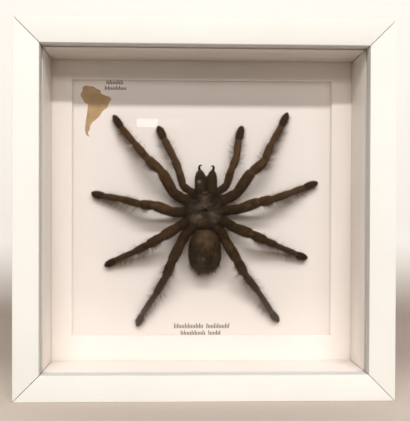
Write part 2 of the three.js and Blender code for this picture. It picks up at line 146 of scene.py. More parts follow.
def colour(name, description, default):
    """A colour setting."""
    return FloatVectorProperty(
        name=name, description=description, default=default, size=3, min=0, max=1, subtype="COLOR"
    )


def length(name, description, millimetres):
    """A length setting, shown in the scene's unit."""
    return FloatProperty(
        name=name,
        description=description,
        default=millimetres * MM,
        min=0,
        precision=5,
        subtype="DISTANCE",
        unit="LENGTH",
    )


def power(name, description, watts):
    """A setting for a lamp's power."""
    return FloatProperty(name=name, description=description, default=watts, min=0, unit="POWER")


class CaseSettings(bpy.types.PropertyGroup):
    """The deep frame, its boards and its fittings."""

    rail_edge: length("Rail edge", "Radius of the rails' rounded edges", 0.7)
    board_edge: length("Board edge", "Radius of the edges of spacers, mat and panel", 0.25)
    steel_edge: length("Steel edge", "Radius of the edges of the tabs and the hanger", 0.12)
    rail_colour: colour("Rail", "Colour of the coated rails", (0.80, 0.79, 0.76))
    board_colour: colour("Spacer", "Colour of the spacer boards", (0.96, 0.895, 0.84))
    mat_colour: colour("Mat", "Colour of the mat's paper", (0.965, 0.892, 0.838))
    card_colour: colour("Card", "Colour of the card", (0.90, 0.82, 0.77))
    print_colour: colour("Print", "Colour of the printed land", (0.40, 0.238, 0.081))
    ink_colour: colour("Ink", "Colour of the label's strokes", (0.014, 0.012, 0.010))
    panel_colour: colour("Panel", "Colour of the back's hardboard", (0.24, 0.13, 0.06))
    steel_colour: colour("Steel", "Colour of the tabs and the hanger", (0.55, 0.55, 0.53))


class SpiderSettings(bpy.types.PropertyGroup):
    """The spider's hair and skin."""

    coat: length("Coat", "How far the skin lies inside the solid", 0.22)
    leg_hair: length("Leg hair", "Length of the short hair of the limbs", 2.0)
    fringe: length("Fringe", "Length of the long sparse hair of the limbs", 10.0)
    abdomen_hair: length("Abdomen hair", "Length of the abdomen's hair", 3.2)
    hair_width: length("Hair width", "Thickness of a short hair at its root", 0.18)
    fringe_width: length("Fringe width", "Thickness of a long hair at its root", 0.1)
    coat_count: IntProperty(
        name="Leg hairs", description="Short hairs on each leg", default=12000, min=0, max=40000
    )
    fringe_count: IntProperty(
        name="Fringe hairs", description="Long hairs on each leg", default=1300, min=0, max=5000
    )
    brown: colour("Brown", "Colour of the limbs' hair", (0.080, 0.044, 0.019))
    dark: colour("Dark", "Colour of the hair of the feet and the jaws", (0.022, 0.014, 0.007))
    rust: colour("Rust", "Colour of the long hair of the shins", (0.150, 0.078, 0.041))
    pale: colour("Pale", "Colour of the bare rings at the joints", (0.150, 0.105, 0.075))
    felt: colour("Felt", "Colour of the carapace", (0.118, 0.082, 0.052))


class StageSettings(bpy.types.PropertyGroup):
    """The floor, the lamps and the camera."""

    floor_colour: colour("Floor", "Colour of the pale floor", (0.60, 0.52, 0.46))
    shade_colour: colour("Far floor", "Colour of the floor behind the frame", (0.36, 0.30, 0.255))
    wall_colour: colour("Wall", "Colour of the backdrop", (0.96, 0.95, 0.93))
    high_lamp: power("High lamp", "Power of the narrow lamp that casts the sharper shadows", 25.5)
    low_lamp: power("Low lamp", "Power of the lamp below it", 8.8)
    fill_lamp: power("Fill lamp", "Power of the broad lamp in front", 7.0)
    ceiling_lamp: power("Ceiling lamp", "Power of the broad lamp above", 2.4)
    window: power("Window", "Power of the far window", 0.0028)
    fill: FloatProperty(name="Fill", description="Strength of the light all round", default=0.06)


# ---------- Shader maths ----------


class Value:
    """A shader socket that takes part in sums: each operator adds its Math node."""

    def __init__(self, shader, socket):
        self.shader = shader
        self.socket = socket

    def sum(self, operation, *terms, clamp=False):
        settings = {"operation": operation, "use_clamp": clamp}
        return self.shader.add("ShaderNodeMath", settings, dict(enumerate(terms)))

    def __add__(self, other):
        return self.sum("ADD", self, other)

    def __radd__(self, other):
        return self.sum("ADD", other, self)

    def __sub__(self, other):
        return self.sum("SUBTRACT", self, other)

    def __rsub__(self, other):
        return self.sum("SUBTRACT", other, self)

    def __mul__(self, other):
        return self.sum("MULTIPLY", self, other)

    def __rmul__(self, other):
        return self.sum("MULTIPLY", other, self)

    def __truediv__(self, other):
        return self.sum("DIVIDE", self, other)

    def __pow__(self, other):
        return self.sum("POWER", self, other)

    def clamped(self):
        """This value, held between 0 and 1."""
        return self.sum("ADD", self, 0.0, clamp=True)

    def over(self, edge, softness):
        """0 below an edge and 1 above it, with a soft step."""
        settings = {"interpolation_type": "SMOOTHSTEP"}
        sockets = {"Value": self, "From Min": edge - softness, "From Max": edge + softness}
        return self.shader.add("ShaderNodeMapRange", settings, sockets)

    def bell(self, middle, width):
        """1 where this value is at the middle, falling to 0 a width away on both sides."""
        away = self.sum("ABSOLUTE", self - middle)
        return 1 - away.over(width / 2, width / 2)


class Shader:
    """A material made of nodes, with one Principled shader whose sockets are set at the end."""

    def __init__(self, name):
        self.material = bpy.data.materials.new(name)
        self.material.use_nodes = True
        self.tree = self.material.node_tree
        self.principled = self.tree.nodes["Principled BSDF"]
        self.place = self.add("ShaderNodeTexCoord", out="Object")

    def add(self, kind, settings=None, sockets=None, out=0):
        """Adds a node, sets its settings, then its sockets to values or links. Gives one output."""
        node = self.tree.nodes.new(kind)
        for name, value in (settings or {}).items():
            setattr(node, name, value)
        for name, value in (sockets or {}).items():
            self.plug(node.inputs[name], value)
        return Value(self, node.outputs[out])

    def plug(self, socket, value):
        if isinstance(value, Value):
            self.tree.links.new(value.socket, socket)
        elif socket.type == "RGBA":
            socket.default_value = (*value[:3], 1.0)
        else:
            socket.default_value = value

    def noise(self, scale, detail=4.0, roughness=0.5, at=None, out="Fac", distortion=0.0):
        """Noise whose features are 1 / scale metres across."""
        sockets = {
            "Vector": at or self.place,
            "Scale": scale,
            "Detail": detail,
            "Roughness": roughness,
            "Distortion": distortion,
        }
        return self.add("ShaderNodeTexNoise", {"noise_dimensions": "3D"}, sockets, out)

    def mix(self, share, a, b):
        """From colour a to colour b by a share."""
        node = self.tree.nodes.new("ShaderNodeMix")
        node.data_type = "RGBA"
        inputs = [s for s in node.inputs if s.enabled]
        self.plug(inputs[0], share)
        self.plug(inputs[1], a)
        self.plug(inputs[2], b)
        return Value(self, next(s for s in node.outputs if s.enabled))

    def wavering(self, noise, softness, rgb, low, high):
        """A colour that wavers with a noise between two shares of its brightness."""
        return self.mix(noise.over(0.5, softness), shade(rgb, low), shade(rgb, high))

    def darker(self, tone, share):
        """A colour socket made darker by mixing it with black."""
        return self.mix(1 - share, tone, (0, 0, 0))

    def stretched(self, scale):
        """Object coordinates, stretched along the axes."""
        return self.add("ShaderNodeMapping", None, {"Vector": self.place, "Scale": scale})

    def axis(self, name):
        """One of the object coordinates, X, Y or Z."""
        return self.add("ShaderNodeSeparateXYZ", None, {0: self.place}, out=name)

    def attribute(self, name):
        """A number stored on the piece's points."""
        return self.add("ShaderNodeAttribute", {"attribute_name": name}, None, out="Fac")

    def bump(self, height, distance, strength=1.0, below=None):
        """A normal that shows a height of some metres."""
        sockets = {"Height": height, "Distance": distance, "Strength": strength}
        if below:
            sockets["Normal"] = below
        return self.add("ShaderNodeBump", None, sockets)

    def finish(self, **sockets):
        """Sets the Principled shader's sockets, whose names have _ for a space."""
        for name, value in sockets.items():
            self.plug(self.principled.inputs[name.replace("_", " ")], value)
        return self.material


def shade(rgb, share):
    """A colour made darker or lighter by a share."""
    return tuple(min(1.0, c * share) for c in rgb)


def coated_finish(case):
    """Smooth satin coating with a faint ripple and faint handling marks."""
    s = Shader("cream_coating")
    base = case.rail_colour
    speck = s.noise(900, 2).over(0.69, 0.03)
    tone = s.wavering(s.noise(14, 3), 0.25, base, 0.965, 1.01)
    tone = s.mix(speck * 0.25, tone, shade(base, 0.72))
    ripple = s.noise(420, 2)
    fine = s.noise(2600, 2)
    height = s.bump(ripple * 0.7 + fine * 0.3, 0.00003, 0.5)
    rough = 0.36 + 0.12 * s.noise(60, 3)
    return s.finish(Base_Color=tone, Roughness=rough, Normal=height, Coat_Weight=0.12)


def board_finish(name, base, tooth, mottle, roughness=0.85):
    """Paper-faced board: a soft cloudiness, loose fibres and a fine tooth."""
    s = Shader(name)
    fibre = s.noise(900, 5, 0.65, at=s.stretched((1, 1, 0.25)))
    tone = s.wavering(s.noise(24, 4), 0.3, base, 1 - mottle, 1 + 0.3 * mottle)
    tone = s.mix(fibre.over(0.72, 0.06) * 0.3, tone, shade(base, 0.8))
    grain = s.noise(3200, 3, 0.6) * 0.7 + fibre * 0.5
    rough = roughness + 0.1 * (s.noise(300) - 0.5)
    return s.finish(Base_Color=tone, Roughness=rough, Normal=s.bump(grain, tooth, 0.6))


def print_finish(case):
    """Matt ink on the card, a little uneven, as a screened tan."""
    s = Shader("land_print")
    blotch = s.noise(150, 4)
    sockets = {"Vector": s.place, "Scale": 4200}
    dots = s.add("ShaderNodeTexVoronoi", {"feature": "F1"}, sockets, "Distance")
    tone = s.wavering(blotch, 0.22, case.print_colour, 0.86, 1.16)
    tone = s.mix(dots.over(0.45, 0.2) * 0.2, tone, case.card_colour)
    tooth = s.bump(s.noise(3200, 3), 0.00002, 0.5)
    return s.finish(Base_Color=tone, Roughness=0.7 + 0.1 * blotch, Normal=tooth)


def ink_finish(case):
    """Grey-black ink that lets a little of the paper through."""
    s = Shader("label_ink")
    gap = s.noise(5200, 2).over(0.62, 0.06)
    tone = s.mix(gap * 0.5, case.ink_colour, shade(case.card_colour, 0.7))
    return s.finish(Base_Color=tone, Roughness=0.6 + 0.1 * gap)


def panel_finish(case):
    """Pressed fibre board: short brown fibres in all directions, with a smooth face."""
    s = Shader("hardboard")
    base = case.panel_colour
    long_fibre = s.noise(700, 6, 0.7, at=s.stretched((1, 1, 0.35)), distortion=0.6)
    cross_fibre = s.noise(620, 6, 0.7, at=s.stretched((0.3, 1, 1)), distortion=0.6)
    weave = (long_fibre + cross_fibre) * 0.5
    tone = s.wavering(weave, 0.14, base, 0.6, 1.5)
    tone = s.mix(s.noise(30, 4).over(0.5, 0.25) * 0.4, tone, shade(base, 0.8))
    rough = 0.62 + 0.2 * (weave - 0.5)
    return s.finish(Base_Color=tone, Roughness=rough, Normal=s.bump(weave, 0.00006, 0.7))


def steel_finish(case):
    """Zinc-plated strip with drawn streaks and dull spots."""
    s = Shader("plated_steel")
    base = case.steel_colour
    streak = s.noise(2600, 3, at=s.stretched((0.05, 1, 1)))
    dull = s.noise(260, 4).over(0.56, 0.08)
    tone = s.mix(dull * 0.5, base, shade(base, 0.62))
    rough = 0.3 + 0.18 * streak + 0.16 * dull
    drawn = s.bump(streak, 0.00001, 0.5)
    return s.finish(Base_Color=tone, Roughness=rough, Metallic=1.0, Normal=drawn)


def glass_finish():
    """Clear flat glass."""
    s = Shader("clear_glass")
    smear = s.noise(22, 3, distortion=1.2).over(0.6, 0.2)
    return s.finish(
        Base_Color=s.mix(smear * 0.02, (0.985, 0.992, 0.988), (0.93, 0.94, 0.93)),
        Roughness=0.0,
        IOR=1.5,
        Transmission_Weight=1.0,
    )


def joint_tone(s, spider, last):
    """The limbs' colour from the joint number stored along them: brown, with near-black feet, and
    painted shade on their sides and underside.
    """
    along, tint, face = (s.attribute(name) for name in ("along", "tint", "face"))
    brown, dark = spider.brown, spider.dark
    wrap = {0: along * 1.3, 1: face * 5.0, 2: s.axis("X") * 90.0}
    streak = s.noise(1.6, 4, 0.6, at=s.add("ShaderNodeCombineXYZ", None, wrap))
    thighs = oval_patch(s, (25, 143), (15, 13)) * 0.5 + oval_patch(s, (-23, 143), (15, 13)) * 0.25
    tone = s.wavering(s.noise(260, 4), 0.2, brown, 0.62, 1.3)
    for share, other in (
        (streak.over(0.55, 0.06) * 0.6, shade(brown, 2.4)),
        ((1 - streak).over(0.56, 0.06) * 0.65, dark),
        (tint.over(0.8, 0.12) * 0.65, (0.20, 0.125, 0.065)),
        (along.over(last - 2.2, 0.5) * 0.4, spider.rust),
        # Painted shade: the sides and underside of a limb, which face away from the glass, are
        # darkened.
        ((1 - face).over(0.7, 0.4) * 0.5, dark),
        # Darker near the body: the coxae's own dark colour, with painted shade where they reach
        # under the carapace.
        ((1 - along.over(2.1, 0.6)) * 0.72, shade(dark, 1.15)),
        (thighs, dark),
        (along.over(last - 0.95, 0.05) * 0.85, dark),
    ):
        tone = s.mix(share, tone, other)
    return along, tint, tone


def limb_skin(spider, last):
    """The skin under a limb's hair, with pale bare rings where its stretches meet."""
    s = Shader(f"limb_skin_{last}")
    along, _, tone = joint_tone(s, spider, last)
    rings = sum(along.bell(joint, 0.06) for joint in range(3, last))
    tone = s.mix(rings * 0.4, s.darker(tone, 0.8), spider.pale)
    pores = s.noise(2400, 3)
    normal = s.bump(pores, 0.00008, 0.8)
    return s.finish(Base_Color=tone, Roughness=0.5 + 0.2 * pores, Normal=normal)


def limb_hair(spider, last):
    """The hair of a limb, a little lighter towards its tips."""
    s = Shader(f"limb_hair_{last}")
    _, tint, tone = joint_tone(s, spider, last)
    tone = s.mix(s.attribute("tip") * 0.35, tone, spider.rust)
    tone = s.mix(tint.over(0.3, 0.25) * 0.25, tone, shade(spider.brown, 1.6))
    return s.finish(Base_Color=tone, Roughness=0.55 + 0.1 * tint, Specular_IOR_Level=0.35)


def jaw_skin(spider, glint_spot):
    """Near-black skin, with a painted highlight on a bare spot of one of the two."""
    s = Shader("jaw_skin_glint" if glint_spot else "jaw_skin")
    grain = s.noise(1500, 4)
    tone = s.wavering(grain, 0.2, spider.dark, 1, 2.2)
    if glint_spot:
        # Painted highlight: a pale oval on the bare spot of one jaw.
        bare = oval_patch(s, glint_spot, (1.5, 1.5), softness=0.35)
        tone = s.mix(bare * 0.75, tone, (0.22, 0.17, 0.13))
    normal = s.bump(grain, 0.0001, 0.8)
    return s.finish(Base_Color=tone, Roughness=0.45 + 0.2 * grain, Normal=normal)


def jaw_hair(spider):
    """Near-black hair."""
    s = Shader("jaw_hair")
    tint = s.attribute("tint")
    tone = s.mix(tint, spider.dark, shade(spider.brown, 0.9))
    return s.finish(Base_Color=tone, Roughness=0.5 + 0.1 * tint)


def oval_patch(s, centre, size, lean=0.0, softness=0.5):
    """1 in a soft oval about [across, up] with half sizes in millimetres, leaning by degrees."""
    x, z = ((s.axis(name) - middle * MM) / MM for name, middle in zip("XZ", centre))
    c, d = math.cos(math.radians(lean)), math.sin(math.radians(lean))
    a = (x * c - z * d) / size[0]
    b = (x * d + z * c) / size[1]
    return 1 - ((a * a + b * b) ** 0.5).over(0.8, softness)


def patched(s, tone, patches):
    """A colour under soft ovals: each one's middle, half sizes, strength, colour and lean."""
    for centre, size, share, other, *lean in patches:
        tone = s.mix(oval_patch(s, centre, size, *lean) * share, tone, other)
    return tone


# Lighter and darker areas of the carapace: middle, half sizes, strength and colour.
FELT_PATCHES = (
    ((0.5, 132.6), (1.9, 5.0), 0.55, (0.150, 0.115, 0.085)),
    ((-6.4, 118.6), (5.8, 5.0), 0.75, (0.265, 0.200, 0.140)),
    ((-2.0, 127.6), (7.0, 2.6), 0.6, (0.190, 0.146, 0.106)),
    ((7.8, 121.0), (5.2, 4.4), 0.7, (0.225, 0.165, 0.118)),
    ((9.4, 116.0), (3.6, 4.8), 0.7, (0.260, 0.190, 0.135)),
    ((1.0, 115.4), (4.8, 3.8), 0.8, (0.165, 0.098, 0.042)),
    ((-5.6, 133.8), (4.0, 5.6), 0.95, (0.014, 0.010, 0.007)),
    ((7.6, 134.0), (3.8, 5.6), 0.95, (0.014, 0.010, 0.007)),
    ((7.2, 125.4), (4.4, 1.1), 0.55, (0.022, 0.016, 0.010)),
    ((0.8, 125.0), (3.0, 1.9), 0.55, (0.022, 0.016, 0.010)),
    ((-9.6, 127.4), (2.8, 2.6), 0.35, (0.026, 0.019, 0.012)),
    ((-3.2, 111.8), (3.6, 1.2), 0.5, (0.020, 0.014, 0.009)),
)


def felt_tone(s, spider):
    """The carapace's colour, and where it is dark: at the head's sides, the rim and in the pit."""
    felt = spider.felt
    x, z = ((s.axis(name) - middle * MM) / MM for name, middle in (("X", 0.9), ("Z", 124.8)))
    away = (x * x + z * z) ** 0.5
    ray = x.sum("COSINE", x.sum("ARCTAN2", x, z) * 8.0)
    tone = s.wavering(s.noise(360, 5, 0.6, distortion=0.8), 0.12, felt, 0.5, 1.3)
    tone = s.mix(ray.over(0.75, 0.25) * away.over(4.5, 3) * 0.5, s.darker(tone, 0.5), tone)
    dim = 0.0
    for centre, size, share, other in FELT_PATCHES:
        blot = oval_patch(s, centre, size) * (0.5 + 0.5 * s.noise(520, 4).over(0.45, 0.1)) * share
        tone = s.mix(blot, tone, other)
        if max(other) < 0.03:
            dim = dim + blot
    rim = away.over(12.6, 1.4) * 0.4
    return s.mix(rim, tone, shade(felt, 0.3)), (dim + rim).clamped()


def carapace_skin(spider):
    """Dull dry skin with rays, a dark pit and one light streak."""
    s = Shader("carapace_skin")
    tone, _ = felt_tone(s, spider)
    tone = patched(s, tone, (
        ((0.4, 125.2), (3.4, 2.2), 0.6, (0.014, 0.010, 0.006)),
        ((-2.6, 121.4), (1.7, 0.9), 0.7, (0.30, 0.24, 0.18), 40),
        ((-1.0, 120.3), (1.0, 1.2), 0.6, (0.28, 0.22, 0.17)),
    ))
    grain = s.noise(1900, 5, 0.6)
    wrinkle = s.noise(520, 4, distortion=1.0)
    normal = s.bump(grain * 0.5 + wrinkle, 0.00012, 0.8)
    return s.finish(Base_Color=tone, Roughness=0.55 + 0.2 * grain, Normal=normal)


def carapace_hair(spider):
    """Short felt that follows the colour of the skin below it."""
    s = Shader("carapace_felt")
    tint = s.attribute("tint")
    tone, dim = felt_tone(s, spider)
    tone = s.mix(tint.over(0.75, 0.15) * (1 - dim) * 0.5, tone, shade(spider.felt, 2.2))
    tone = s.mix((1 - tint).over(0.7, 0.2) * 0.6, tone, shade(spider.felt, 0.2))
    return s.finish(Base_Color=tone, Roughness=0.6 + 0.1 * tint)


def abdomen_tone(s, spider):
    """The abdomen's colour: warm brown in front, dark round the sides and in lengthwise streaks."""
    brown = spider.brown
    cloud = s.noise(300, 4, distortion=0.6)
    streak = s.noise(420, 4, at=s.stretched((1.6, 1, 0.35)), distortion=0.4)
    warm = oval_patch(s, (1.9, 103.2), (8.6, 8.0)) * cloud.over(0.36, 0.2)
    tone = s.wavering(cloud, 0.2, brown, 0.8, 1.5)
    tone = s.mix(warm * 0.85, tone, (0.36, 0.235, 0.128))
    tone = patched(s, tone, [((8.4, 92.0), (4.4, 6.5), 0.7, (0.24, 0.148, 0.07))])
    tone = s.mix(streak.over(0.57, 0.05) * 0.7, tone, shade(brown, 0.22))
    return patched(s, tone, (
        ((5.0, 91.8), (1.2, 4.6), 0.8, shade(brown, 0.25)),
        ((0.9, 97.4), (1.4, 2.6), 0.6, shade(brown, 0.35), 20),
        ((0.0, 86.6), (5.6, 1.1), 0.55, (0.22, 0.145, 0.09)),
        ((-2.8, 92.0), (5.4, 4.4), 0.85, (0.042, 0.033, 0.028)),
    ))


def abdomen_skin(spider):
    """Wrinkled skin with a dark bald patch and its light spot."""
    s = Shader("abdomen_skin")
    fold = s.noise(700, 4, distortion=2.0)
    tone = s.mix(fold.over(0.6, 0.05) * 0.35, abdomen_tone(s, spider), (0.12, 0.095, 0.075))
    tone = patched(s, tone, [((0.1, 91.5), (1.0, 1.2), 0.6, (0.24, 0.19, 0.15))])
    wrinkle = s.noise(420, 5, distortion=1.5)
    normal = s.bump(wrinkle, 0.00025, 0.8)
    return s.finish(Base_Color=tone, Roughness=0.62 + 0.2 * wrinkle, Normal=normal)


def abdomen_hair(spider):
    """Long hair of the abdomen, some of it light at the front."""
    s = Shader("abdomen_bristle")
    tint = s.attribute("tint")
    front = s.axis("Z").over(0.095, 0.008)
    light = tint.over(0.8, 0.08) * (0.3 + 0.6 * front)
    tone = s.mix(s.attribute("tip") * tint * 0.4, abdomen_tone(s, spider), (0.17, 0.10, 0.05))
    tone = s.mix(light, tone, (0.26, 0.185, 0.11))
    tone = s.mix((1 - tint).over(0.75, 0.1) * 0.7, tone, shade(spider.brown, 0.25))
    return s.finish(Base_Color=tone, Roughness=0.55 + 0.1 * tint)


def fang_finish():
    """Glossy near-black horn, reddish where it is thin, with fine lengthwise streaks."""
    s = Shader("fang_horn")
    streak = s.noise(1800, 4, at=s.stretched((1, 1, 0.15)))
    tone = s.mix(streak.over(0.5, 0.2), (0.012, 0.006, 0.005), (0.055, 0.020, 0.012))
    rough, normal = 0.16 + 0.12 * streak, s.bump(streak, 0.00003, 0.5)
    return s.finish(Base_Color=tone, Roughness=rough, Coat_Weight=0.4, Normal=normal)


def eye_finish():
    """Small glossy dark beads."""
    s = Shader("eye_bead")
    cloud = s.noise(900, 2)
    tone = s.mix(cloud, (0.02, 0.016, 0.014), (0.09, 0.07, 0.055))
    return s.finish(Base_Color=tone, Roughness=0.12 + 0.08 * cloud, Coat_Weight=0.5)


# ---------- Meshes ----------


def linked(name, data):
    """A new object of a mesh, a lamp or a camera, linked to the scene."""
    made = bpy.data.objects.new(name, data)
    bpy.context.scene.collection.objects.link(made)
    return made


def meshed(name, bm, *materials):
    """A new object of a bmesh, which is freed."""
    mesh = bpy.data.meshes.new(name)
    bm.to_mesh(mesh)
    bm.free()
    for material in materials:
        mesh.materials.append(material)
    return linked(name, mesh)


def working_on(*objects):
    """The context in which an operator works on some objects, of which the first is active."""
    first, chosen = objects[0], list(objects)
    return bpy.context.temp_override(
        active_object=first, object=first, selected_objects=chosen, selected_editable_objects=chosen
    )


def smooth(obj, sharpest):
    """Shades a piece smooth, apart from edges sharper than a number of degrees."""
    with working_on(obj):
        bpy.ops.object.shade_smooth_by_angle(angle=math.radians(sharpest))


def join(target, others):
    """Joins the other pieces into the target."""
    with working_on(target, *others):
        bpy.ops.object.join()


def piece(name, bm, materials, node, sharpest=60):
    """Makes a piece of a bmesh. It rides on the root and stands for a node of the model."""
    made = meshed(name, bm, *materials)
    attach(made, "root")
    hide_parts(node)
    if sharpest:
        smooth(made, sharpest)
    return made


def settle(bm):
    """Turns a closed shell's faces outwards, and puts them and their corners in a fixed order."""
    bm.normal_update()
    bmesh.ops.recalc_face_normals(bm, faces=bm.faces)
    bm.verts.index_update()
    rings = []
    for face in list(bm.faces):
        corners = list(face.verts)
        first = corners.index(min(corners, key=lambda vert: vert.index))
        rings.append(corners[first:] + corners[:first])
        bm.faces.remove(face)
    for ring in sorted(rings, key=lambda ring: [vert.index for vert in ring]):
        bm.faces.new(ring)
    bm.normal_update()


def points_of(geometry):
    """The points among the geometry that an operator gives."""
    return [g for g in geometry if isinstance(g, bmesh.types.BMVert)]


def next_ring(bm, edges):
    """Extrudes a ring of edges. Gives the new ring's points and edges."""
    made = bmesh.ops.extrude_edge_only(bm, edges=edges)["geom"]
    verts = points_of(made)
    grown = [g for g in made if isinstance(g, bmesh.types.BMEdge)]
    return verts, [edge for edge in grown if all(v in verts for v in edge.verts)]


def softened(node, radius, material, segments=2):
    """A piece with a node's shape, its loose triangles joined and its sharp edges rounded."""
    bm = bmesh.new()
    bm.from_mesh(NODES[node].data)
    bmesh.ops.remove_doubles(bm, verts=bm.verts, dist=0.002 * MM)
    bmesh.ops.dissolve_limit(bm, angle_limit=math.radians(1), verts=bm.verts, edges=bm.edges)
    sharpest = math.radians(35)
    edges = [e for e in bm.edges if e.is_manifold and e.calc_face_angle() > sharpest]
    bmesh.ops.bevel(
        bm, geom=edges, offset=radius, offset_type="OFFSET", affect="EDGES", segments=segments,
        profile=0.5, material=-1, clamp_overlap=True,
    )
    bmesh.ops.recalc_face_normals(bm, faces=bm.faces)
    piece(node + "_finished", bm, [material], node, sharpest=40)


def on_card(x, z, height):
    """The point at [across, up, height above the card], in metres."""
    return Vector((x * MM, CARD_Y - height * MM, z * MM))


# ---------- Limbs ----------

KNEE_BEND = 2.2 * MM
LIMB_STEP, LEAST_RADIUS = 0.75 * MM, 0.25 * MM
CREASE_REACH, TIP_REACH = 0.8 * MM, 2.0 * MM
# How wide a stretch of a limb is at shares of its length, against its full width.
STRETCH_SHAPE = ((0.08, 0.91), (0.2, 0.96), (0.48, 1), (0.78, 0.96), (0.92, 0.92))
FOOT_SHAPE = (
    (0.07, 0.86), (0.16, 0.95), (0.4, 1), (0.7, 0.92), (0.86, 0.76), (0.95, 0.5), (1, 0.12),
)


def bent_path(joints):
    """Points along straight runs between joints with a short bend at each, as an array."""
    points = [on_card(*joint) for joint in joints]
    path = [points[0]]
    for before, here, after in zip(points, points[1:], points[2:]):
        start = here.lerp(before, KNEE_BEND / (here - before).length)
        end = here.lerp(after, KNEE_BEND / (here - after).length)
        for share in np.linspace(0, 1, 7):
            path.append(start.lerp(here, share).lerp(here.lerp(end, share), share))
    path.append(points[-1])
    return np.array(path)


def curved_path(joints, steps=24):
    """Points on a smooth curve through a few joints, as an array."""
    points = [np.array(on_card(*joint)) for joint in joints]
    points = [2 * points[0] - points[1], *points, 2 * points[-1] - points[-2]]
    path = []
    for a, b, c, d in zip(points, points[1:], points[2:], points[3:]):
        for t in np.linspace(0, 1, steps, endpoint=False):
            bend = (2 * a - 5 * b + 4 * c - d) * t**2 + (3 * b - 3 * c + d - a) * t**3
            path.append(0.5 * (2 * b + (c - a) * t + bend))
    return np.array([*path, points[-2]])


class Route:
    """A path with its places, directions and sideways directions at any share of its length."""

    def __init__(self, path):
        steps = np.linalg.norm(np.diff(path, axis=0), axis=1)
        self.shares = np.concatenate([[0], np.cumsum(steps)])
        self.length = self.shares[-1]
        self.shares /= self.length
        self.path = path

    def at(self, share):
        return np.stack([np.interp(share, self.shares, self.path[:, i]) for i in range(3)], -1)

    def along(self, share):
        reach = 0.4 * MM / self.length
        ahead = self.at(np.clip(share + reach, 0, 1)) - self.at(np.clip(share - reach, 0, 1))
        return ahead / np.linalg.norm(ahead, axis=-1, keepdims=True)

    def rise(self, share):
        """The direction that rises from the card, square to the path."""
        along = self.along(share)
        return unit(np.array([0, -1, 0]) + along * along[..., 1:2])

    def frame(self, share):
        """A matrix whose Z runs along the path, whose Y rises from the card."""
        along = Vector(self.along(share))
        rise = Vector((0, -1, 0))
        rise = (rise - along * rise.dot(along)).normalized()
        side = rise.cross(along)
        turned = Matrix((side, rise, along)).transposed().to_4x4()
        return Matrix.Translation(Vector(self.at(share))) @ turned


def limb_profile(joints, widths):
    """[share, radius] pairs: each stretch swells between two necks, and the last ends round."""
    points = [on_card(*joint) for joint in joints]
    lengths = [(b - a).length for a, b in zip(points, points[1:])]
    total = sum(lengths)
    joint_shares = np.concatenate([[0], np.cumsum(lengths)]) / total
    radii = [width / 2 * MM for width in widths]
    last = len(radii) - 1
    profile = [(0, 0.6 * radii[0])]
    start = 0
    for i, radius in enumerate(radii):
        for share, size in FOOT_SHAPE if i == last else STRETCH_SHAPE:
            profile.append(((start + share * lengths[i]) / total, radius * size))
        start += lengths[i]
        if i < last:
            slim = 0.74 if i == last - 1 else 0.88
            profile.append((start / total, slim * min(radius, radii[i + 1])))
    shares, sizes = np.array(profile).T
    return shares, sizes, joint_shares


def sweep(route, shares, radii, sides=16, tall=1.0):
    """A closed tube along a route, extruded ring by ring. Each point keeps its share."""
    bm = bmesh.new()
    layer = bm.verts.layers.float.new("share")
    places = [
        route.frame(share) @ Matrix.Diagonal((radius, radius * tall, 1, 1))
        for share, radius in zip(shares, radii)
    ]
    circle = bmesh.ops.create_circle(bm, segments=sides, radius=1, matrix=places[0], cap_ends=True)
    verts, edges = circle["verts"], list(bm.edges)
    for vert in verts:
        vert[layer] = shares[0]
    for share, before, here in zip(shares[1:], places, places[1:]):
        verts, edges = next_ring(bm, edges)
        bmesh.ops.transform(bm, matrix=here @ before.inverted(), verts=verts)
        for vert in verts:
            vert[layer] = share
    verts, _ = next_ring(bm, edges)
    for vert in verts:
        vert[layer] = shares[-1]
    bmesh.ops.pointmerge(bm, verts=verts, merge_co=Vector(route.at(1.0)))
    settle(bm)
    return bm


def tapered(joints, stops, sizes, steps, sides, tall=1.0, least=0.0):
    """A tube on a smooth curve through joints, whose radii are given at stops along it."""
    shares = np.linspace(0, 1, steps)
    radii = np.maximum(np.interp(shares, stops, sizes), least)
    return sweep(Route(curved_path(joints)), shares, radii, sides, tall)


def shaped_ball(across, around, place):
    """A ball whose every point is moved by a function of where it was, to a place on the card."""
    bm = bmesh.new()
    bmesh.ops.create_uvsphere(bm, u_segments=across, v_segments=around, radius=1)
    for vert in bm.verts:
        vert.co = on_card(*place(*vert.co))
    settle(bm)
    return bm


# ---------- Hair ----------

ROOT_DEPTH = 0.05 * MM
CARD_GAP = 0.08 * MM
LOCK_WIDTH, LOCK_SHARE = 2.3, 1 / 7


def hair_shape(rings):
    """One hair of unit length and radius along Z, with three sides and a number of rings."""
    bm = bmesh.new()
    bmesh.ops.create_circle(bm, segments=3, radius=1)
    edges = list(bm.edges)
    for ring in range(1, rings):
        verts, edges = next_ring(bm, edges)
        for vert in verts:
            vert.co.xy = vert.co.xy.normalized() * (1 - 0.5 * ring / rings)
            vert.co.z = ring / rings
    verts, _ = next_ring(bm, edges)
    bmesh.ops.pointmerge(bm, verts=verts, merge_co=(0, 0, 1))
    settle(bm)
    corners = np.array([v.co for v in bm.verts])
    faces = [[v.index for v in f.verts] for f in bm.faces]
    bm.free()
    return corners, faces


def unit(vectors):
    """Vectors of length 1."""
    return vectors / np.maximum(np.linalg.norm(vectors, axis=-1, keepdims=True), 1e-12)


def shade_all_smooth(mesh):
    """Shades every face of a mesh smooth."""
    mesh.polygons.foreach_set("use_smooth", [True] * len(mesh.polygons))


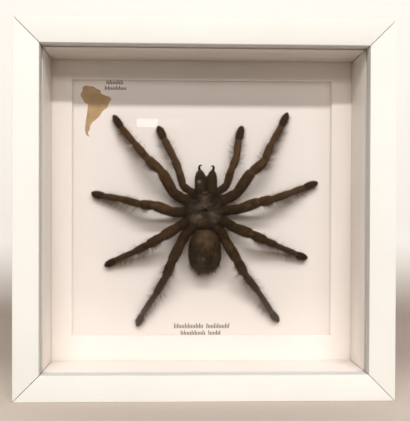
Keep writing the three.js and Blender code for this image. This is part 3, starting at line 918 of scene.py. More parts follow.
def hair_mesh(name, roots, rings, material, marks=None):
    """One mesh of many hairs. Roots holds each hair's place, direction, bend, length and width."""
    corners, faces = hair_shape(rings)
    count = len(roots["place"])
    along = unit(roots["direction"])
    bend = unit(roots["bend"] - along * np.sum(along * roots["bend"], -1, keepdims=True))
    side = np.cross(along, bend)
    across, aside, z = (corners[None, :, i, None] for i in range(3))
    width, reach, curl = (roots[key][:, None, None] for key in ("width", "length", "curl"))
    place = (
        roots["place"][:, None]
        + along[:, None] * z * reach
        + bend[:, None] * (across * width + curl * reach * z**2)
        + side[:, None] * aside * width
    )
    place[..., 1] = np.minimum(place[..., 1], CARD_Y - CARD_GAP)
    steps = np.arange(count)[:, None, None] * len(corners)
    all_faces = []
    for size in sorted({len(f) for f in faces}):
        same = np.array([f for f in faces if len(f) == size])
        all_faces.extend((same[None] + steps).reshape(-1, size).tolist())
    mesh = bpy.data.meshes.new(name)
    mesh.from_pydata(place.reshape(-1, 3), [], all_faces)
    values = {"tip": corners[None, :, 2], "tint": roots["tint"][:, None]}
    values.update((key, value[:, None]) for key, value in (marks or {}).items())
    for key, value in values.items():
        numbers = np.broadcast_to(value, (count, len(corners)))
        layer = mesh.attributes.new(key, "FLOAT", "POINT")
        layer.data.foreach_set("value", np.ascontiguousarray(numbers, np.float32).ravel())
    mesh.materials.append(material)
    shade_all_smooth(mesh)
    return linked(name, mesh)


def triples(items, key, kind=float):
    """Three numbers of each of a mesh's items, as rows."""
    rows = np.zeros(len(items) * 3, kind)
    items.foreach_get(key, rows)
    return rows.reshape(-1, 3)


def scatter(obj, count, rng, keep=None):
    """Random points on a piece's surface with their normals, spread evenly over its area."""
    mesh = obj.data
    mesh.calc_loop_triangles()
    corners = triples(mesh.vertices, "co")
    normals = triples(mesh.vertex_normals, "vector")
    triangles = triples(mesh.loop_triangles, "vertices", int)
    a, b, c = (corners[triangles[:, i]] for i in range(3))
    area = np.linalg.norm(np.cross(b - a, c - a), axis=1)
    if keep is not None:
        area = area * keep((a + b + c) / 3, unit(np.cross(b - a, c - a)))
    chosen = rng.choice(len(triangles), count, p=area / area.sum())
    u, v = rng.random(count), rng.random(count)
    over = u + v > 1
    u[over], v[over] = 1 - u[over], 1 - v[over]
    weights = np.stack([1 - u - v, u, v], 1)[:, :, None]
    places = (corners[triangles[chosen]] * weights).sum(1)
    facing = unit((normals[triangles[chosen]] * weights).sum(1))
    return places, facing


def lying(places, facing, lay, lift, rng, spread=0.25):
    """Directions of hairs that follow lay along the surface and rise by lift, in radians."""
    flat = unit(lay - facing * np.sum(lay * facing, -1, keepdims=True))
    side = np.cross(facing, flat)
    swing = rng.normal(0, spread, len(places))[:, None]
    flat = flat * np.cos(swing) + side * np.sin(swing)
    rise = np.asarray(lift)[..., None] * np.ones((len(places), 1))
    return flat * np.cos(rise) + facing * np.sin(rise)


def locks(count, rng):
    """Relative widths of hairs, some of which stand for a stuck lock."""
    return rng.choice((1.0, LOCK_WIDTH), count, p=(1 - LOCK_SHARE, LOCK_SHARE))


def groom(places, facing, lay, lift, lengths, width, curl, rng, spread=0.25):
    """The roots of hairs that lie along a surface."""
    count = len(places)
    return {
        "place": places - facing * ROOT_DEPTH,
        "direction": lying(places, facing, lay, lift, rng, spread),
        "bend": -facing + rng.normal(0, 0.3, (count, 3)),
        "length": lengths,
        "width": width * rng.uniform(0.7, 1.15, count),
        "curl": curl * rng.uniform(0.3, 1.2, count),
        "tint": rng.random(count),
    }


def lifts(low, high, count, rng):
    """Random angles between hairs and the surface, given in degrees, as radians."""
    return np.radians(rng.uniform(low, high, count))


def bristles(
    name, skin, material, count, rng, lay, reach, lift, width, keep=None, spread=0.25, marks=None
):
    """Plain short hair on a skin. Reach and lift are ranges, in millimetres and degrees."""
    places, facing = scatter(skin, count, rng, keep)
    lengths = rng.uniform(*reach, count) * MM
    lift = lifts(*lift, count, rng)
    coat = groom(places, facing, lay, lift, lengths, width * MM, 0.1, rng, spread)
    return hair_mesh(name, coat, 1, material, marks)


def nearness(places, middle, size):
    """1 for places near [across, up] in millimetres, falling to 0 past the half sizes."""
    offset = (places - np.array(on_card(*middle, 0)))[:, ALONG_CASE]
    return np.exp(-(np.linalg.norm(offset / np.array(size) / MM, axis=1) ** 4))


def limb_points(route, count, shares, radii, joint_shares, rng, low, high, weight, lower=None):
    """Random points on a limb: place, outward, direction along it and marks.

    Weight is how dense they stand by joint number, and lower how much they prefer that side."""
    numbers = np.arange(len(joint_shares))
    grid = np.linspace(low, high, 600)
    dense = weight(np.interp(grid, joint_shares, numbers))
    total = np.cumsum(np.interp(grid, shares, radii) * dense)
    share = np.interp(rng.random(count), total / total[-1], grid)
    angle = rng.uniform(0, 2 * math.pi, count)
    along, rise = route.along(share), route.rise(share)
    side = np.cross(rise, along)
    if lower is not None:
        near = rng.random(count) < 0.5 - lower * side[:, 2]
        angle = np.where(near, 0, math.pi) + rng.normal(0, 0.5, count)
    outward = side * np.cos(angle)[:, None] + rise * np.sin(angle)[:, None]
    place = route.at(share) + outward * np.interp(share, shares, radii)[:, None]
    marks = {"along": np.interp(share, joint_shares, numbers), "face": np.sin(angle)}
    return place, outward, along, marks


def mark_points(bm, **values):
    """Stores numbers on the points of a bmesh, one row of them for each name."""
    for key, numbers in values.items():
        layer = bm.verts.layers.float.new(key)
        for vert, number in zip(bm.verts, numbers):
            vert[layer] = number


def crease(fine, length, joint, depth, reach):
    """How a limb narrows round a joint, at shares of its length."""
    return 1 - depth * np.exp(-(((fine - joint) * length / reach) ** 2))


def hairy_limb(name, joints, widths, lower, spider, materials, coat_count, fringe_count, seed):
    """A limb with a ringed skin, a short coat and a sparse fringe, more of it on the lower side."""
    rng = np.random.default_rng(seed)
    route = Route(bent_path(joints))
    shares, sizes, joint_shares = limb_profile(joints, widths)
    sizes = np.maximum(sizes - spider.coat, LEAST_RADIUS)
    last = len(joint_shares) - 1
    fine = np.linspace(0, 1, int(route.length / LIMB_STEP))
    radii = np.interp(fine, shares, sizes)
    radii = np.convolve(np.pad(radii, 1, mode="edge"), (0.25, 0.5, 0.25), "valid")
    for joint, depth in zip(joint_shares[3:-1], (0.1,) * (last - 4) + (0.14,)):
        radii *= crease(fine, route.length, joint, depth, CREASE_REACH)
    radii *= crease(fine, route.length, 1, 0.32, TIP_REACH)
    bm = sweep(route, fine, radii)
    layer = bm.verts.layers.float["share"]
    kept = np.array([vert[layer] for vert in bm.verts])
    out = unit(np.array([vert.co for vert in bm.verts]) - route.at(kept))
    mark_points(
        bm,
        along=np.interp(kept, joint_shares, np.arange(last + 1)),
        tint=np.full(len(kept), 0.5),
        face=np.sum(out * route.rise(kept), 1),
    )
    skin, hair = materials
    made = piece(name + "_hairy", bm, [skin], name)

    places, outward, along, marks = limb_points(
        route, coat_count, fine, radii, joint_shares, rng, 0.06, 0.995,
        lambda n: 1 - 0.55 * np.exp(-(((n - np.round(n)) / 0.05) ** 2)) * (n > 2.5),
    )
    foot = np.clip((marks["along"] - (last - 1)) / 0.1, 0, 1)
    lengths = spider.leg_hair * rng.uniform(0.55, 1.15, coat_count) * (1 - 0.35 * foot)
    lift = np.radians(rng.uniform(8, 38, coat_count) - 4 * foot)
    width = spider.hair_width / 2 * locks(coat_count, rng)
    coat = groom(places, outward, along, lift, lengths, width, 0.12, rng)
    parts = [hair_mesh(name + "_coat", coat, 1, hair, marks)]

    places, outward, along, marks = limb_points(
        route, fringe_count, fine, radii, joint_shares, rng, 0.14, 0.97,
        lambda n: 0.3 + 1.1 * ((n > 3.3) & (n < last - 0.15)) - 0.2 * (n > last - 0.15),
        lower=lower,
    )
    stops, sizes = (2, 3.5, 4, last - 1.2, last - 0.9), (0.45, 0.6, 1, 1, 0.4)
    lengths = spider.fringe * (0.22 + 0.78 * rng.random(fringe_count) ** 1.4)
    lengths = lengths * np.interp(marks["along"], stops, sizes)
    lengths = lengths * (1 - 0.45 * np.clip(outward[:, 2], 0, 1))
    lift = lifts(45, 85, fringe_count, rng)
    fringe = groom(places, outward, along, lift, lengths, spider.fringe_width / 2, 0.16, rng, 0.3)
    marks["face"] = np.ones(fringe_count)
    parts.append(hair_mesh(name + "_fringe", fringe, 2, hair, marks))
    join(made, parts)


# ---------- Body ----------


def hump(x, z, size):
    """A round swelling of height 1 in the middle."""
    return math.exp(-(x * x + z * z) / (size * size))


def carapace_place(shrink):
    """Where a ball's point goes on the carapace."""
    middle, span, breadth, rim, rise = 126.1, 27.8, 27.6, 7.6, 6
    corner = 2.5

    def place(a, b, c):
        turn = math.atan2(a, b)
        square = (abs(math.sin(turn)) ** corner + abs(math.cos(turn)) ** corner) ** (-1 / corner)
        headward = max(0, b)
        upper = max(0, c)
        scallop = 1 - 0.018 * math.cos(10 * turn) * (1 - upper) * (1 - headward)
        x = a * square * (breadth / 2 - shrink) * (1 - 0.3 * headward**1.5) * scallop
        z = b * square * (span / 2 - shrink) * scallop
        dome = rise * c**0.85 if c > 0 else 1.6 * c
        head = 1.5 * upper * hump(x, z - 6, 6.5)
        pit = 1.9 * hump(x * 0.55, z + 1.5, 1.5)
        pit += 0.8 * hump(x - 3.6, (z - 0.1) * 2 + (x - 3.6) * 0.9, 2.6)
        ray = max(0, -math.cos(8 * turn)) ** 2
        groove = 0.75 * ray * upper * (1 - hump(x, z, 4)) * (1 - hump(x, z - 13.9, 5))
        neck = 0.5 * upper * math.exp(-((abs(x) - 2 - 0.55 * max(0, z)) ** 2)) * (0 < z < 12)
        rear = 1.2 * max(0, -b) * upper
        height = rim + dome + head - pit - groove - neck - rear
        return BODY_X + x, middle + z, height - shrink * math.copysign(1, c)

    return place


def bead(name, segments, middle, half, material):
    """A loose oval ball, to be joined into a piece: its middle and half sizes on the card."""
    bm = shaped_ball(*segments, lambda *at: [m + h * a for m, h, a in zip(middle, half, at)])
    made = meshed(name, bm, material)
    shade_all_smooth(made.data)
    return made


def build_cephalothorax(spider):
    """The carapace with its pit, rays and eye mound, the breastplate below, and a short felt."""
    rng = np.random.default_rng(11)
    skin, hair = carapace_skin(spider), carapace_hair(spider)
    bm = shaped_ball(96, 56, carapace_place(CARAPACE_DEPTH))
    made = piece("cephalothorax_felted", bm, [skin], "cephalothorax")
    parts = [
        bead("breastplate_part", (32, 20), (BODY_X, 124.5, 5), (4.8, 9.3, 4.4), skin),
        bead("eye_mound_part", (24, 16), (0.8, 137.2, 12.2), (1.6, 1.25, 1.8), skin),
    ]
    glint = eye_finish()
    for x, z, size in EYES:
        middle = (x, z, 13.6 - 0.55 * abs(x - 0.8))
        parts.append(bead("eye_part", (12, 8), middle, (size, size, size), glint))

    def felted(places, normals):
        bare = nearness(places, (-1.8, 120.9), (2.2, 1.3))
        return (0.25 + (normals[:, 1] < 0.3)) * (1 - 0.95 * bare)

    count = 13000
    places, facing = scatter(made, count, rng, felted)
    centre = np.array(on_card(0.9, 124.6, 12))
    lay = unit(places - centre + 0.3 * MM * DOWN)
    distance = np.linalg.norm((places - centre)[:, ALONG_CASE], axis=1) / (13 * MM)
    lengths = (0.9 + 1.1 * np.clip(distance, 0, 1) ** 2) * MM * rng.uniform(0.6, 1.2, count)
    lift = lifts(6, 30, count, rng)
    felt = groom(places, facing, lay, lift, lengths, 0.08 * MM * locks(count, rng), 0.1, rng, 0.6)
    parts.append(hair_mesh("carapace_coat", felt, 1, hair))

    count = 2600
    places, facing = scatter(made, count, rng, lambda p, n: (np.abs(n[:, 1]) < 0.8) * 1.0)
    lengths = rng.uniform(1.6, 3.9, count) * MM
    lay = unit(places - centre)
    lift = lifts(10, 50, count, rng)
    fringe = groom(places, facing, lay, lift, lengths, 0.06 * MM, 0.2, rng, 0.6)
    parts.append(hair_mesh("carapace_fringe", fringe, 2, hair))
    join(made, parts)


def abdomen_place(shrink):
    """Where a ball's point goes on the abdomen."""
    front, rear, breadth, thickness, corner = 111.8, 82.3, 23.2, 17.2, 2.4

    def place(a, b, c):
        level = math.sqrt(max(0, 1 - c * c))
        blunt = (1 - abs(c) ** corner) ** (1 / corner) / level if level > 0.01 else 1
        broad = blunt * (1 - 0.06 * c)
        x = a * (breadth / 2 * broad - shrink)
        z = (front + rear) / 2 + c * ((front - rear) / 2 - shrink)
        upper = max(0, b)
        dent = 0.9 * upper * hump(x + 3.5, z - 93, 6)
        fold = 0.35 * upper * math.cos(c * 9) * abs(a)
        crumple = 0.22 * upper * math.sin(1.9 * x + 0.8 * math.sin(z * 0.7)) * math.sin(0.9 * z)
        height = 0.6 + thickness / 2 + b * (thickness / 2 * broad - shrink)
        return BODY_X + x, z, height - dent - fold + crumple

    return place


def build_abdomen(spider):
    """The abdomen with long hair that lies rearwards, a bald patch and tufts at its rear."""
    rng = np.random.default_rng(23)
    bm = shaped_ball(64, 44, abdomen_place(ABDOMEN_DEPTH))
    made = piece("abdomen_hairy", bm, [abdomen_skin(spider)], "abdomen")
    hair = abdomen_hair(spider)
    centre = np.array(on_card(BODY_X, 104, 9))

    def furred(places, normals):
        bald = nearness(places, (-2.4, 92.2), (4.8, 3.8)) * (normals[:, 1] < 0)
        return 1 - 0.93 * bald

    def raised(facing):
        return 0.6 * np.clip(-facing[:, 2], 0, 1) ** 2

    count = 26000
    places, facing = scatter(made, count, rng, furred)
    lay = unit(DOWN + 0.55 * unit((places - centre) * np.array([1, 0.2, 1])))
    level = np.clip((centre[1] - places[:, 1]) / (9 * MM), 0, 1)
    rearward = np.clip(-facing[:, 2], 0, 1) ** 2
    short = 1 - 0.25 * level - 0.5 * rearward
    lengths = spider.abdomen_hair * rng.uniform(0.5, 1.1, count) * short
    lift = lifts(8, 26, count, rng) + raised(facing)
    coat = groom(places, facing, lay, lift, lengths, 0.09 * MM * locks(count, rng), 0.15, rng, 0.35)
    parts = [hair_mesh("abdomen_coat", coat, 1, hair)]

    count = 3000
    places, facing = scatter(made, count, rng, furred)
    rearward = np.clip((97 * MM - places[:, 2]) / (14 * MM), 0, 1)
    lengths = (1.6 + 1.6 * rearward) * MM * rng.uniform(0.6, 1.15, count)
    lift = lifts(22, 55, count, rng) + raised(facing)
    fringe = groom(places, facing, DOWN, lift, lengths, 0.08 * MM, 0.2, rng, 0.4)
    parts.append(hair_mesh("abdomen_fringe", fringe, 2, hair))

    def bunched(places, normals):
        x, z = places[:, 0] / MM, places[:, 2] / MM
        bunches = ((-3.3, 3.4, 1), (1, 2, 0.8), (6.3, 1.8, 0.6))
        dense = 0.5 + sum(share * np.exp(-(((x - at) / size) ** 2)) for at, size, share in bunches)
        return dense * (z < 89) * (normals[:, 2] < 0)

    count = 1100
    places, facing = scatter(made, count, rng, bunched)
    lay = DOWN + rng.normal(0, 0.25, (count, 3)) * np.array([1, 0.5, 0])
    lay = unit(lay + (places - centre) / (15 * MM) * np.array([1, 0, 0]))
    lengths = rng.uniform(2.2, 6.4, count) * MM
    tufts = groom(places, facing, lay, 0, lengths, 0.06 * MM, 0.1, rng, 0.3)
    tufts["direction"] = lay + 0.35 * facing
    parts.append(hair_mesh("abdomen_tufts", tufts, 2, hair))
    join(made, parts)


def build_chelicera(name, joints, width, spider, glint_spot, hair, seed):
    """A stout jaw with bristly near-black hair, and a brush of it towards the other jaw."""
    rng = np.random.default_rng(seed)
    stops = (0, 0.05, 0.15, 0.45, 0.65, 0.8, 0.92, 1)
    sizes = np.array([0.36, 0.44, 0.49, 0.5, 0.47, 0.37, 0.2, 0.05]) * width * MM - JAW_DEPTH * MM
    bm = tapered(joints, stops, sizes, 28, 20, tall=1.08)
    made = piece(name + "_hairy", bm, [jaw_skin(spider, glint_spot)], name)
    between_jaws, brush_top = 0.8, 149.3 * MM
    inward = math.copysign(1, between_jaws - joints[0][0])

    # Hair is left off the bare spot of the jaw that carries the painted highlight.
    def furred(places, normals):
        return 1 - 0.95 * nearness(places, glint_spot, (1.6, 1.6)) * (normals[:, 1] < 0)

    def inner(places, normals):
        return (normals[:, 0] * inward > 0.6) * (places[:, 2] < brush_top)

    keep = furred if glint_spot else None
    join(made, [
        bristles(name + "_coat", made, hair, 4200, rng, UP, (0.7, 1.7), (8, 30), 0.06, keep),
        bristles(name + "_brush", made, hair, 900, rng, UP, (1.0, 1.9), (25, 65), 0.07, inner),
    ])


def build_fang(name, joints, material):
    """A curved horn that narrows to a sharp tip."""
    stops = (0, 0.02, 0.3, 0.6, 0.85, 1)
    sizes = np.array([1.0, 1.03, 0.93, 0.68, 0.34, 0.04]) * MM
    piece(name + "_horn", tapered(joints, stops, sizes, 30, 16), [material], name)


def build_spinneret(name, joints, materials, seed):
    """A short ringed finger with a tuft of hair."""
    rng = np.random.default_rng(seed)
    stops = (0, 0.03, 0.4, 0.55, 0.8, 0.95, 1)
    sizes = np.array([1.0, 1.1, 1.1, 0.9, 0.8, 0.45, 0.1]) * MM - SPINNERET_DEPTH * MM
    bm = tapered(joints, stops, sizes, 24, 14, least=0.1 * MM)
    mark_points(bm, along=np.ones(len(bm.verts)))
    skin, hair = materials
    made = piece(name + "_hairy", bm, [skin], name)
    count = 2200
    lay = np.array(on_card(*joints[-1]) - on_card(*joints[0]))
    coat = bristles(
        name + "_coat", made, hair, count, rng, lay, (0.6, 1.8), (8, 34), 0.05, spread=0.35,
        marks={"along": np.ones(count)},
    )
    join(made, [coat])


# ---------- Printed card ----------

# The coast of the printed land on the card, [across, up] in millimetres.
COAST = (
    (-86.3, 213.2), (-85.4, 214.4), (-83.3, 215.0), (-81.1, 214.4), (-80.2, 214.2), (-79.5, 214.6),
    (-77.8, 213.8), (-76.0, 212.5), (-74.5, 212.0), (-73.1, 210.9), (-73.5, 209.7), (-72.1, 208.8),
    (-69.3, 207.6), (-66.9, 206.9), (-65.6, 205.6), (-66.0, 204.4), (-67.4, 202.6), (-67.8, 200.6),
    (-68.7, 198.8), (-71.1, 197.3), (-72.7, 195.3), (-74.2, 192.6), (-75.4, 191.7), (-77.2, 190.0),
    (-79.0, 188.8), (-80.2, 186.7), (-81.1, 185.3), (-80.8, 183.8), (-81.9, 182.0), (-82.5, 180.5),
    (-81.6, 179.1), (-80.5, 178.3), (-82.3, 178.5), (-83.6, 179.7), (-84.3, 182.0), (-84.5, 184.7),
    (-84.0, 186.4), (-83.9, 189.4), (-83.3, 192.9), (-82.8, 196.4), (-82.5, 199.4), (-82.3, 201.5),
    (-84.5, 202.3), (-85.7, 204.4), (-87.2, 206.8), (-87.8, 208.5), (-86.9, 210.0), (-86.2, 211.2),
)

# Rows of plain marks where writing is: left end, foot, height, slant and marks in each group.
LABEL_ROWS = (
    (-20.2, 40.2, 2.4, 0.5, (19, 15)),
    (-15.2, 35.4, 2.2, 0.0, (16, 8)),
    (-69.2, 215.9, 1.9, 0.4, (11,)),
    (-70.4, 211.9, 1.9, 0.4, (14,)),
)
MARK_STEP, MARK_WIDTH, GROUP_GAP, TALL_MARK = 1.13, 0.6, 2.0, 1.5
# The card's materials for the print. The first one is the paper.
LAND, INK = 1, 2


def label_marks():
    """Upright or slanting marks in rows, some of them taller, as outlines in millimetres."""
    marks = []
    for left, foot, height, slant, groups in LABEL_ROWS:
        for group, number in enumerate(groups):
            for i in range(number):
                tall = TALL_MARK if (i * 5 + group * 3) % 7 in (0, 3) else 1.0
                top, lean = height * tall, 0.45 * slant * tall
                corners = ((0, 0), (MARK_WIDTH, 0), (MARK_WIDTH + lean, top), (lean, top))
                marks.append([(left + across, foot + up) for across, up in corners])
                left += MARK_STEP
            left += GROUP_GAP
    return marks


def build_card(case):
    """The card, whose front carries the flat print."""
    low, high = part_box("card")
    bm = bmesh.new()
    place = Matrix.Translation((low + high) / 2) @ Matrix.Diagonal((*(high - low), 1))
    bmesh.ops.create_cube(bm, size=1, matrix=place)
    front = next(f for f in bm.faces if all(abs(v.co.y - low.y) < 1e-7 for v in f.verts))
    border = list(front.edges)
    bmesh.ops.delete(bm, geom=[front], context="FACES_ONLY")
    dot = [(-74.5 + 0.6 * math.cos(turn), 211.3 + 0.5 * math.sin(turn)) for turn in range(6)]
    outlines = []
    for outline, index in [(COAST, LAND), (dot, INK)] + [(mark, INK) for mark in label_marks()]:
        verts = [
            bmesh.ops.create_vert(bm, co=(x * MM, low.y, z * MM))["vert"][0] for x, z in outline
        ]
        edges = [
            bmesh.ops.contextual_create(bm, geom=[a, b])["edges"][0]
            for a, b in zip(verts, verts[1:] + verts[:1])
        ]
        outlines.append((edges, index))
        border += edges
    bmesh.ops.triangle_fill(bm, edges=border, use_beauty=False)
    for edges, index in outlines:
        for part in bmesh.ops.triangle_fill(bm, edges=edges, use_beauty=False)["geom"]:
            if isinstance(part, bmesh.types.BMFace):
                part.material_index = index
    bm.normal_update()
    for face in bm.faces:
        if abs(face.calc_center_median().y - low.y) < 1e-7 and face.normal.y > 0:
            face.normal_flip()
    paper = board_finish("card_paper", case.card_colour, 0.00002, 0.012, 0.78)
    materials = [paper, print_finish(case), ink_finish(case)]
    piece("card_printed", bm, materials, "card", sharpest=None)


# ---------- Stage ----------


def area_lamp(name, place, target, size, watts, tint):
    """A soft lamp that looks at a point."""
    data = bpy.data.lights.new(name, "AREA")
    data.shape = "RECTANGLE"
    data.size, data.size_y = size
    data.energy = watts
    data.color = tint
    lamp = linked(name, data)
    lamp.location = place
    lamp.rotation_euler = (Vector(target) - Vector(place)).to_track_quat("-Z", "Y").to_euler()
    return lamp


def backdrop_finish(stage):
    """Plain pale paper, a little darker where the floor turns up, near-black far in front as
    painted shade, and clear from its rear.
    """
    s = Shader("stage_paper")
    cloud = s.noise(3, 3)
    tone = s.mix(s.axis("Y").over(0.02, 0.09), stage.floor_colour, stage.shade_colour)
    tone = s.mix(s.axis("Z").over(0.045, 0.055), tone, stage.wall_colour)
    # Painted shade: past 0.38 m in front of the frame the floor turns near-black, as the unlit room
    # that the glass mirrors.
    tone = s.mix((0.0 - s.axis("Y")).over(0.38, 0.16) * 0.85, tone, (0.05, 0.042, 0.036))
    tone = s.mix(cloud * 0.06, tone, shade(stage.floor_colour, 0.8))
    rear = s.add("ShaderNodeNewGeometry", out="Backfacing")
    normal = s.bump(s.noise(400, 3), 0.0001, 0.3)
    return s.finish(Base_Color=tone, Roughness=0.75 + 0.1 * cloud, Normal=normal, Alpha=1 - rear)


def build_backdrop(stage):
    """A floor that curves up into a wall behind the frame, and is clear from its rear."""
    bm = bmesh.new()
    width, reach, behind, radius, height = 5.0, 0.9, 0.26, 0.12, 3.0
    start = bmesh.ops.create_vert(bm, co=(-width / 2, -reach, 0))["vert"][0]
    ends = bmesh.ops.extrude_vert_indiv(bm, verts=[start])["verts"]
    bmesh.ops.translate(bm, vec=(0, reach + behind, 0), verts=ends)
    quarter = math.radians(90)
    centre = (0, behind, radius)
    bmesh.ops.spin(bm, geom=ends[:1], cent=centre, axis=(1, 0, 0), angle=quarter, steps=16)
    last = max(bm.verts, key=lambda v: v.co.z)
    top = bmesh.ops.extrude_vert_indiv(bm, verts=[last])["verts"]
    bmesh.ops.translate(bm, vec=(0, 0, height), verts=top)
    sheet = bmesh.ops.extrude_edge_only(bm, edges=bm.edges)["geom"]
    bmesh.ops.translate(bm, vec=(width, 0, 0), verts=points_of(sheet))
    bmesh.ops.remove_doubles(bm, verts=bm.verts, dist=1e-5)
    bmesh.ops.recalc_face_normals(bm, faces=bm.faces)
    if sum(face.normal.z for face in bm.faces) < 0:
        bmesh.ops.reverse_faces(bm, faces=bm.faces)
    backdrop = meshed("backdrop", bm, backdrop_finish(stage))
    smooth(backdrop, 60)


def build_dark_card():
    """A dark sheet behind the camera that only the glass sees: painted shade that stands for the
    unlit end of a room.
    """
    bm = bmesh.new()
    turned = Matrix.Translation((0, -0.62, 0.15)) @ Matrix.Rotation(math.radians(90), 4, "X")
    bmesh.ops.create_grid(bm, x_segments=1, y_segments=1, size=0.9, matrix=turned)
    # Painted shade of the unlit room, with a faint weave of noise.
    s = Shader("painted_room_shade")
    weave = s.mix(s.noise(60, 3), (0.03, 0.026, 0.022), (0.05, 0.043, 0.036))
    sheet = meshed("dark_card", bm, s.finish(Base_Color=weave, Roughness=0.9))
    for way in ("camera", "diffuse", "transmission", "volume_scatter", "shadow"):
        setattr(sheet, "visible_" + way, False)


def build_window(stage, eye):
    """A far window and its blind, small and weak, that the glass mirrors towards the camera."""
    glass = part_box("glass_pane")[0].y
    distance, middle, height = 0.45, 182.8, 5.4
    for name, left, right, share in (
        ("window", -45.3, -31.5, 1.0),
        ("window_blind", -31.5, -14.0, 0.2),
    ):
        seen = Vector(((left + right) / 2 * MM, glass, middle * MM))
        mirrored = (seen - eye) * Vector((1, -1, 1))
        place = seen + mirrored.normalized() * distance
        grown = 1 + distance / (seen - eye).length
        size = ((right - left) * MM * grown, height * MM * grown)
        area_lamp(name, place, seen, size, stage.window * share, (1.0, 0.97, 0.93))


def build_camera():
    """The camera, level with the middle of the frame and a little to its left."""
    sensor = 36.0
    focal_pixels = 511.85
    centre_across, centre_down = 182.2, 222.96
    place = Vector((-22.72, -354.64, 118.87)) * MM
    roll, tilt, turn = 0.0029, 0.0068, 0.0226
    long_side = max(IMAGE_WIDTH, IMAGE_HEIGHT)
    data = bpy.data.cameras.new("camera")
    data.sensor_width = sensor
    data.lens = focal_pixels * sensor / long_side
    data.shift_x = (IMAGE_WIDTH / 2 - centre_across) / long_side
    data.shift_y = (centre_down - IMAGE_HEIGHT / 2) / long_side
    data.clip_start, data.clip_end = 0.01, 20
    turned = Matrix.Rotation(roll, 3, "Y") @ Matrix.Rotation(tilt, 3, "X")
    turned = turned @ Matrix.Rotation(turn, 3, "Z")
    right, forward, up = (Vector(turned[i]) for i in range(3))
    camera = linked("camera", data)
    axes = Matrix((right, up, -forward)).transposed().to_4x4()
    camera.matrix_world = Matrix.Translation(place) @ axes
    bpy.context.scene.camera = camera


def build_lamps(stage):
    """The lamps in front of and above the case, which the glass doesn't mirror."""
    middle = (CAD_BOX[0] + CAD_BOX[1]) / 2
    for name, distance, rise, aside, size, watts, tint in (
        ("high_lamp", 1.7, 42.7, 3, (1.9, 0.09), stage.high_lamp, (1.0, 0.985, 0.975)),
        ("low_lamp", 1.7, 24.8, 2, (1.9, 0.22), stage.low_lamp, (1.0, 0.93, 0.93)),
        ("fill_lamp", 1.5, 14, 0, (2.6, 1.0), stage.fill_lamp, (0.95, 1.0, 0.84)),
        ("ceiling_lamp", 1.5, 60, 2, (1.9, 0.9), stage.ceiling_lamp, (1.0, 0.94, 0.80)),
    ):
        up, turn = math.radians(rise), math.radians(aside)
        level = math.cos(up)
        away = Vector((math.sin(turn) * level, -math.cos(turn) * level, math.sin(up)))
        place = middle + away * distance
        target = Vector((place.x, middle.y, middle.z))
        lamp = area_lamp(name, place, target, size, watts, tint)
        lamp.visible_glossy = lamp.visible_transmission = False


def build_room(stage):
    """A weak warm light all round."""
    world = bpy.data.worlds.new("soft_room")
    world.use_nodes = True
    background = world.node_tree.nodes["Background"]
    background.inputs["Color"].default_value = (1.0, 0.70, 0.55, 1)
    background.inputs["Strength"].default_value = stage.fill
    bpy.context.scene.world = world
    bpy.context.scene.view_settings.view_transform = "Standard"


# ---------- Operators ----------


class SPECIMEN_OT_stage(bpy.types.Operator):
    """Makes the backdrop, the lamps and the camera"""

    bl_idname = "specimen.stage"
    bl_label = "Stage"

    def execute(self, context):
        stage = context.scene.specimen_stage
        build_backdrop(stage)
        build_dark_card()
        build_camera()
        build_lamps(stage)
        build_window(stage, context.scene.camera.location)
        build_room(stage)
        return {"FINISHED"}


class SPECIMEN_OT_case(bpy.types.Operator):
    """Finishes the rails, the glass and the boards of the deep frame"""

    bl_idname = "specimen.case"
    bl_label = "Case"

    def execute(self, context):
        case = context.scene.specimen_case
        coating = coated_finish(case)
        spacer = board_finish("spacer_paper", case.board_colour, 0.00002, 0.02, 0.33)
        mat = board_finish("mat_paper", case.mat_colour, 0.00004, 0.018, 0.9)
        for side in SIDES:
            softened("rail_" + side, case.rail_edge, coating, segments=3)
            softened("spacer_" + side, case.board_edge, spacer)
        softened("mat", case.board_edge, mat)
        glass = NODES["glass_pane"]
        glass.data.materials.clear()
        glass.data.materials.append(glass_finish())
        glass.visible_shadow = False
        return {"FINISHED"}


class SPECIMEN_OT_card(bpy.types.Operator):
    """Makes the card with its print"""

    bl_idname = "specimen.card"
    bl_label = "Card"

    def execute(self, context):
        build_card(context.scene.specimen_case)
        return {"FINISHED"}


class SPECIMEN_OT_back(bpy.types.Operator):
    """Finishes the back panel, its tabs and the hanger"""

    bl_idname = "specimen.back"
    bl_label = "Back"

    def execute(self, context):
        case = context.scene.specimen_case
        softened("back_panel", case.board_edge, panel_finish(case))
        steel = steel_finish(case)
        tabs = [f"tab_{side}_{number}" for side in SIDES for number in (1, 2)]
        for node in [*tabs, "hanger"]:
            softened(node, case.steel_edge, steel)
        return {"FINISHED"}


class SPECIMEN_OT_body(bpy.types.Operator):
    """Makes the spider's head, thorax and abdomen"""

    bl_idname = "specimen.body"
    bl_label = "Body"

    def execute(self, context):
        spider = context.scene.specimen_spider
        build_cephalothorax(spider)
        build_abdomen(spider)
        return {"FINISHED"}


class SPECIMEN_OT_jaws(bpy.types.Operator):
    """Makes the chelicerae and their fangs"""

    bl_idname = "specimen.jaws"
    bl_label = "Jaws"

    def execute(self, context):
        spider = context.scene.specimen_spider
        hair = jaw_hair(spider)
        for seed, (name, (joints, width)) in enumerate(CHELICERAE.items(), 31):
            build_chelicera(name, joints, width, spider, BARE_GLINT_SPOTS.get(name), hair, seed)
        horn = fang_finish()
        for name, joints in FANGS.items():
            build_fang(name, joints, horn)
        return {"FINISHED"}


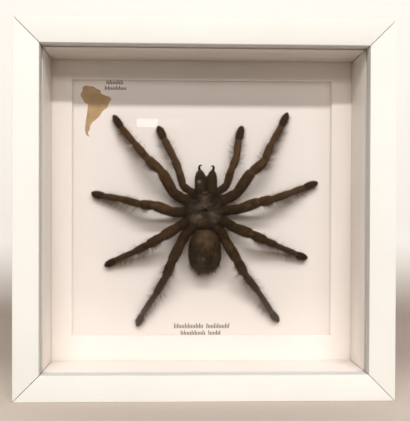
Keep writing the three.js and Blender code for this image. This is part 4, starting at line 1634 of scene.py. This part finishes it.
class SPECIMEN_OT_limbs(bpy.types.Operator):
    """Makes the hairy palps, legs and spinnerets"""

    bl_idname = "specimen.limbs"
    bl_label = "Limbs"

    def execute(self, context):
        spider = context.scene.specimen_spider
        leg, palp = ((limb_skin(spider, last), limb_hair(spider, last)) for last in (7, 6))
        coat, fringe = spider.coat_count, spider.fringe_count
        for seed, (name, joints) in enumerate(LEG_JOINTS.items(), 100):
            pair = int(name[-1])
            widths, lower = LEG_WIDTHS[pair], LOWER_FRINGE[pair]
            hairy_limb(name, joints, widths, lower, spider, leg, coat, fringe, seed)
        for seed, (name, joints) in enumerate(PALP_JOINTS.items(), 200):
            hairy_limb(name, joints, PALP_WIDTHS, 0.2, spider, palp, coat // 2, fringe // 3, seed)
        for seed, (name, joints) in enumerate(SPINNERETS.items(), 300):
            build_spinneret(name, joints, leg, seed)
        return {"FINISHED"}


class SPECIMEN_PT_panel(bpy.types.Panel):
    """Lists the pieces of the framed tarantula"""

    bl_idname = "SPECIMEN_PT_panel"
    bl_label = "Framed Tarantula"
    bl_space_type = "VIEW_3D"
    bl_region_type = "UI"
    bl_category = "Specimen"

    def draw(self, context):
        for operator in OPERATORS:
            self.layout.operator(operator.bl_idname)
        for name in SETTINGS:
            box, settings = self.layout.box(), getattr(context.scene, name)
            for key in settings.__annotations__:
                box.prop(settings, key)


SETTINGS = {
    "specimen_case": CaseSettings,
    "specimen_spider": SpiderSettings,
    "specimen_stage": StageSettings,
}
OPERATORS = (
    SPECIMEN_OT_stage,
    SPECIMEN_OT_case,
    SPECIMEN_OT_card,
    SPECIMEN_OT_back,
    SPECIMEN_OT_body,
    SPECIMEN_OT_jaws,
    SPECIMEN_OT_limbs,
)


def register():
    for name, group in SETTINGS.items():
        bpy.utils.register_class(group)
        setattr(bpy.types.Scene, name, PointerProperty(type=group))
    for operator in OPERATORS:
        bpy.utils.register_class(operator)
    bpy.utils.register_class(SPECIMEN_PT_panel)


def unregister():
    bpy.utils.unregister_class(SPECIMEN_PT_panel)
    for operator in reversed(OPERATORS):
        bpy.utils.unregister_class(operator)
    for name, group in reversed(SETTINGS.items()):
        delattr(bpy.types.Scene, name)
        bpy.utils.unregister_class(group)


def main():
    """Registers the add-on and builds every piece."""
    register()
    bpy.ops.specimen.stage()
    bpy.ops.specimen.case()
    bpy.ops.specimen.card()
    bpy.ops.specimen.back()
    bpy.ops.specimen.body()
    bpy.ops.specimen.jaws()
    bpy.ops.specimen.limbs()


if __name__ == "__main__":
    main()
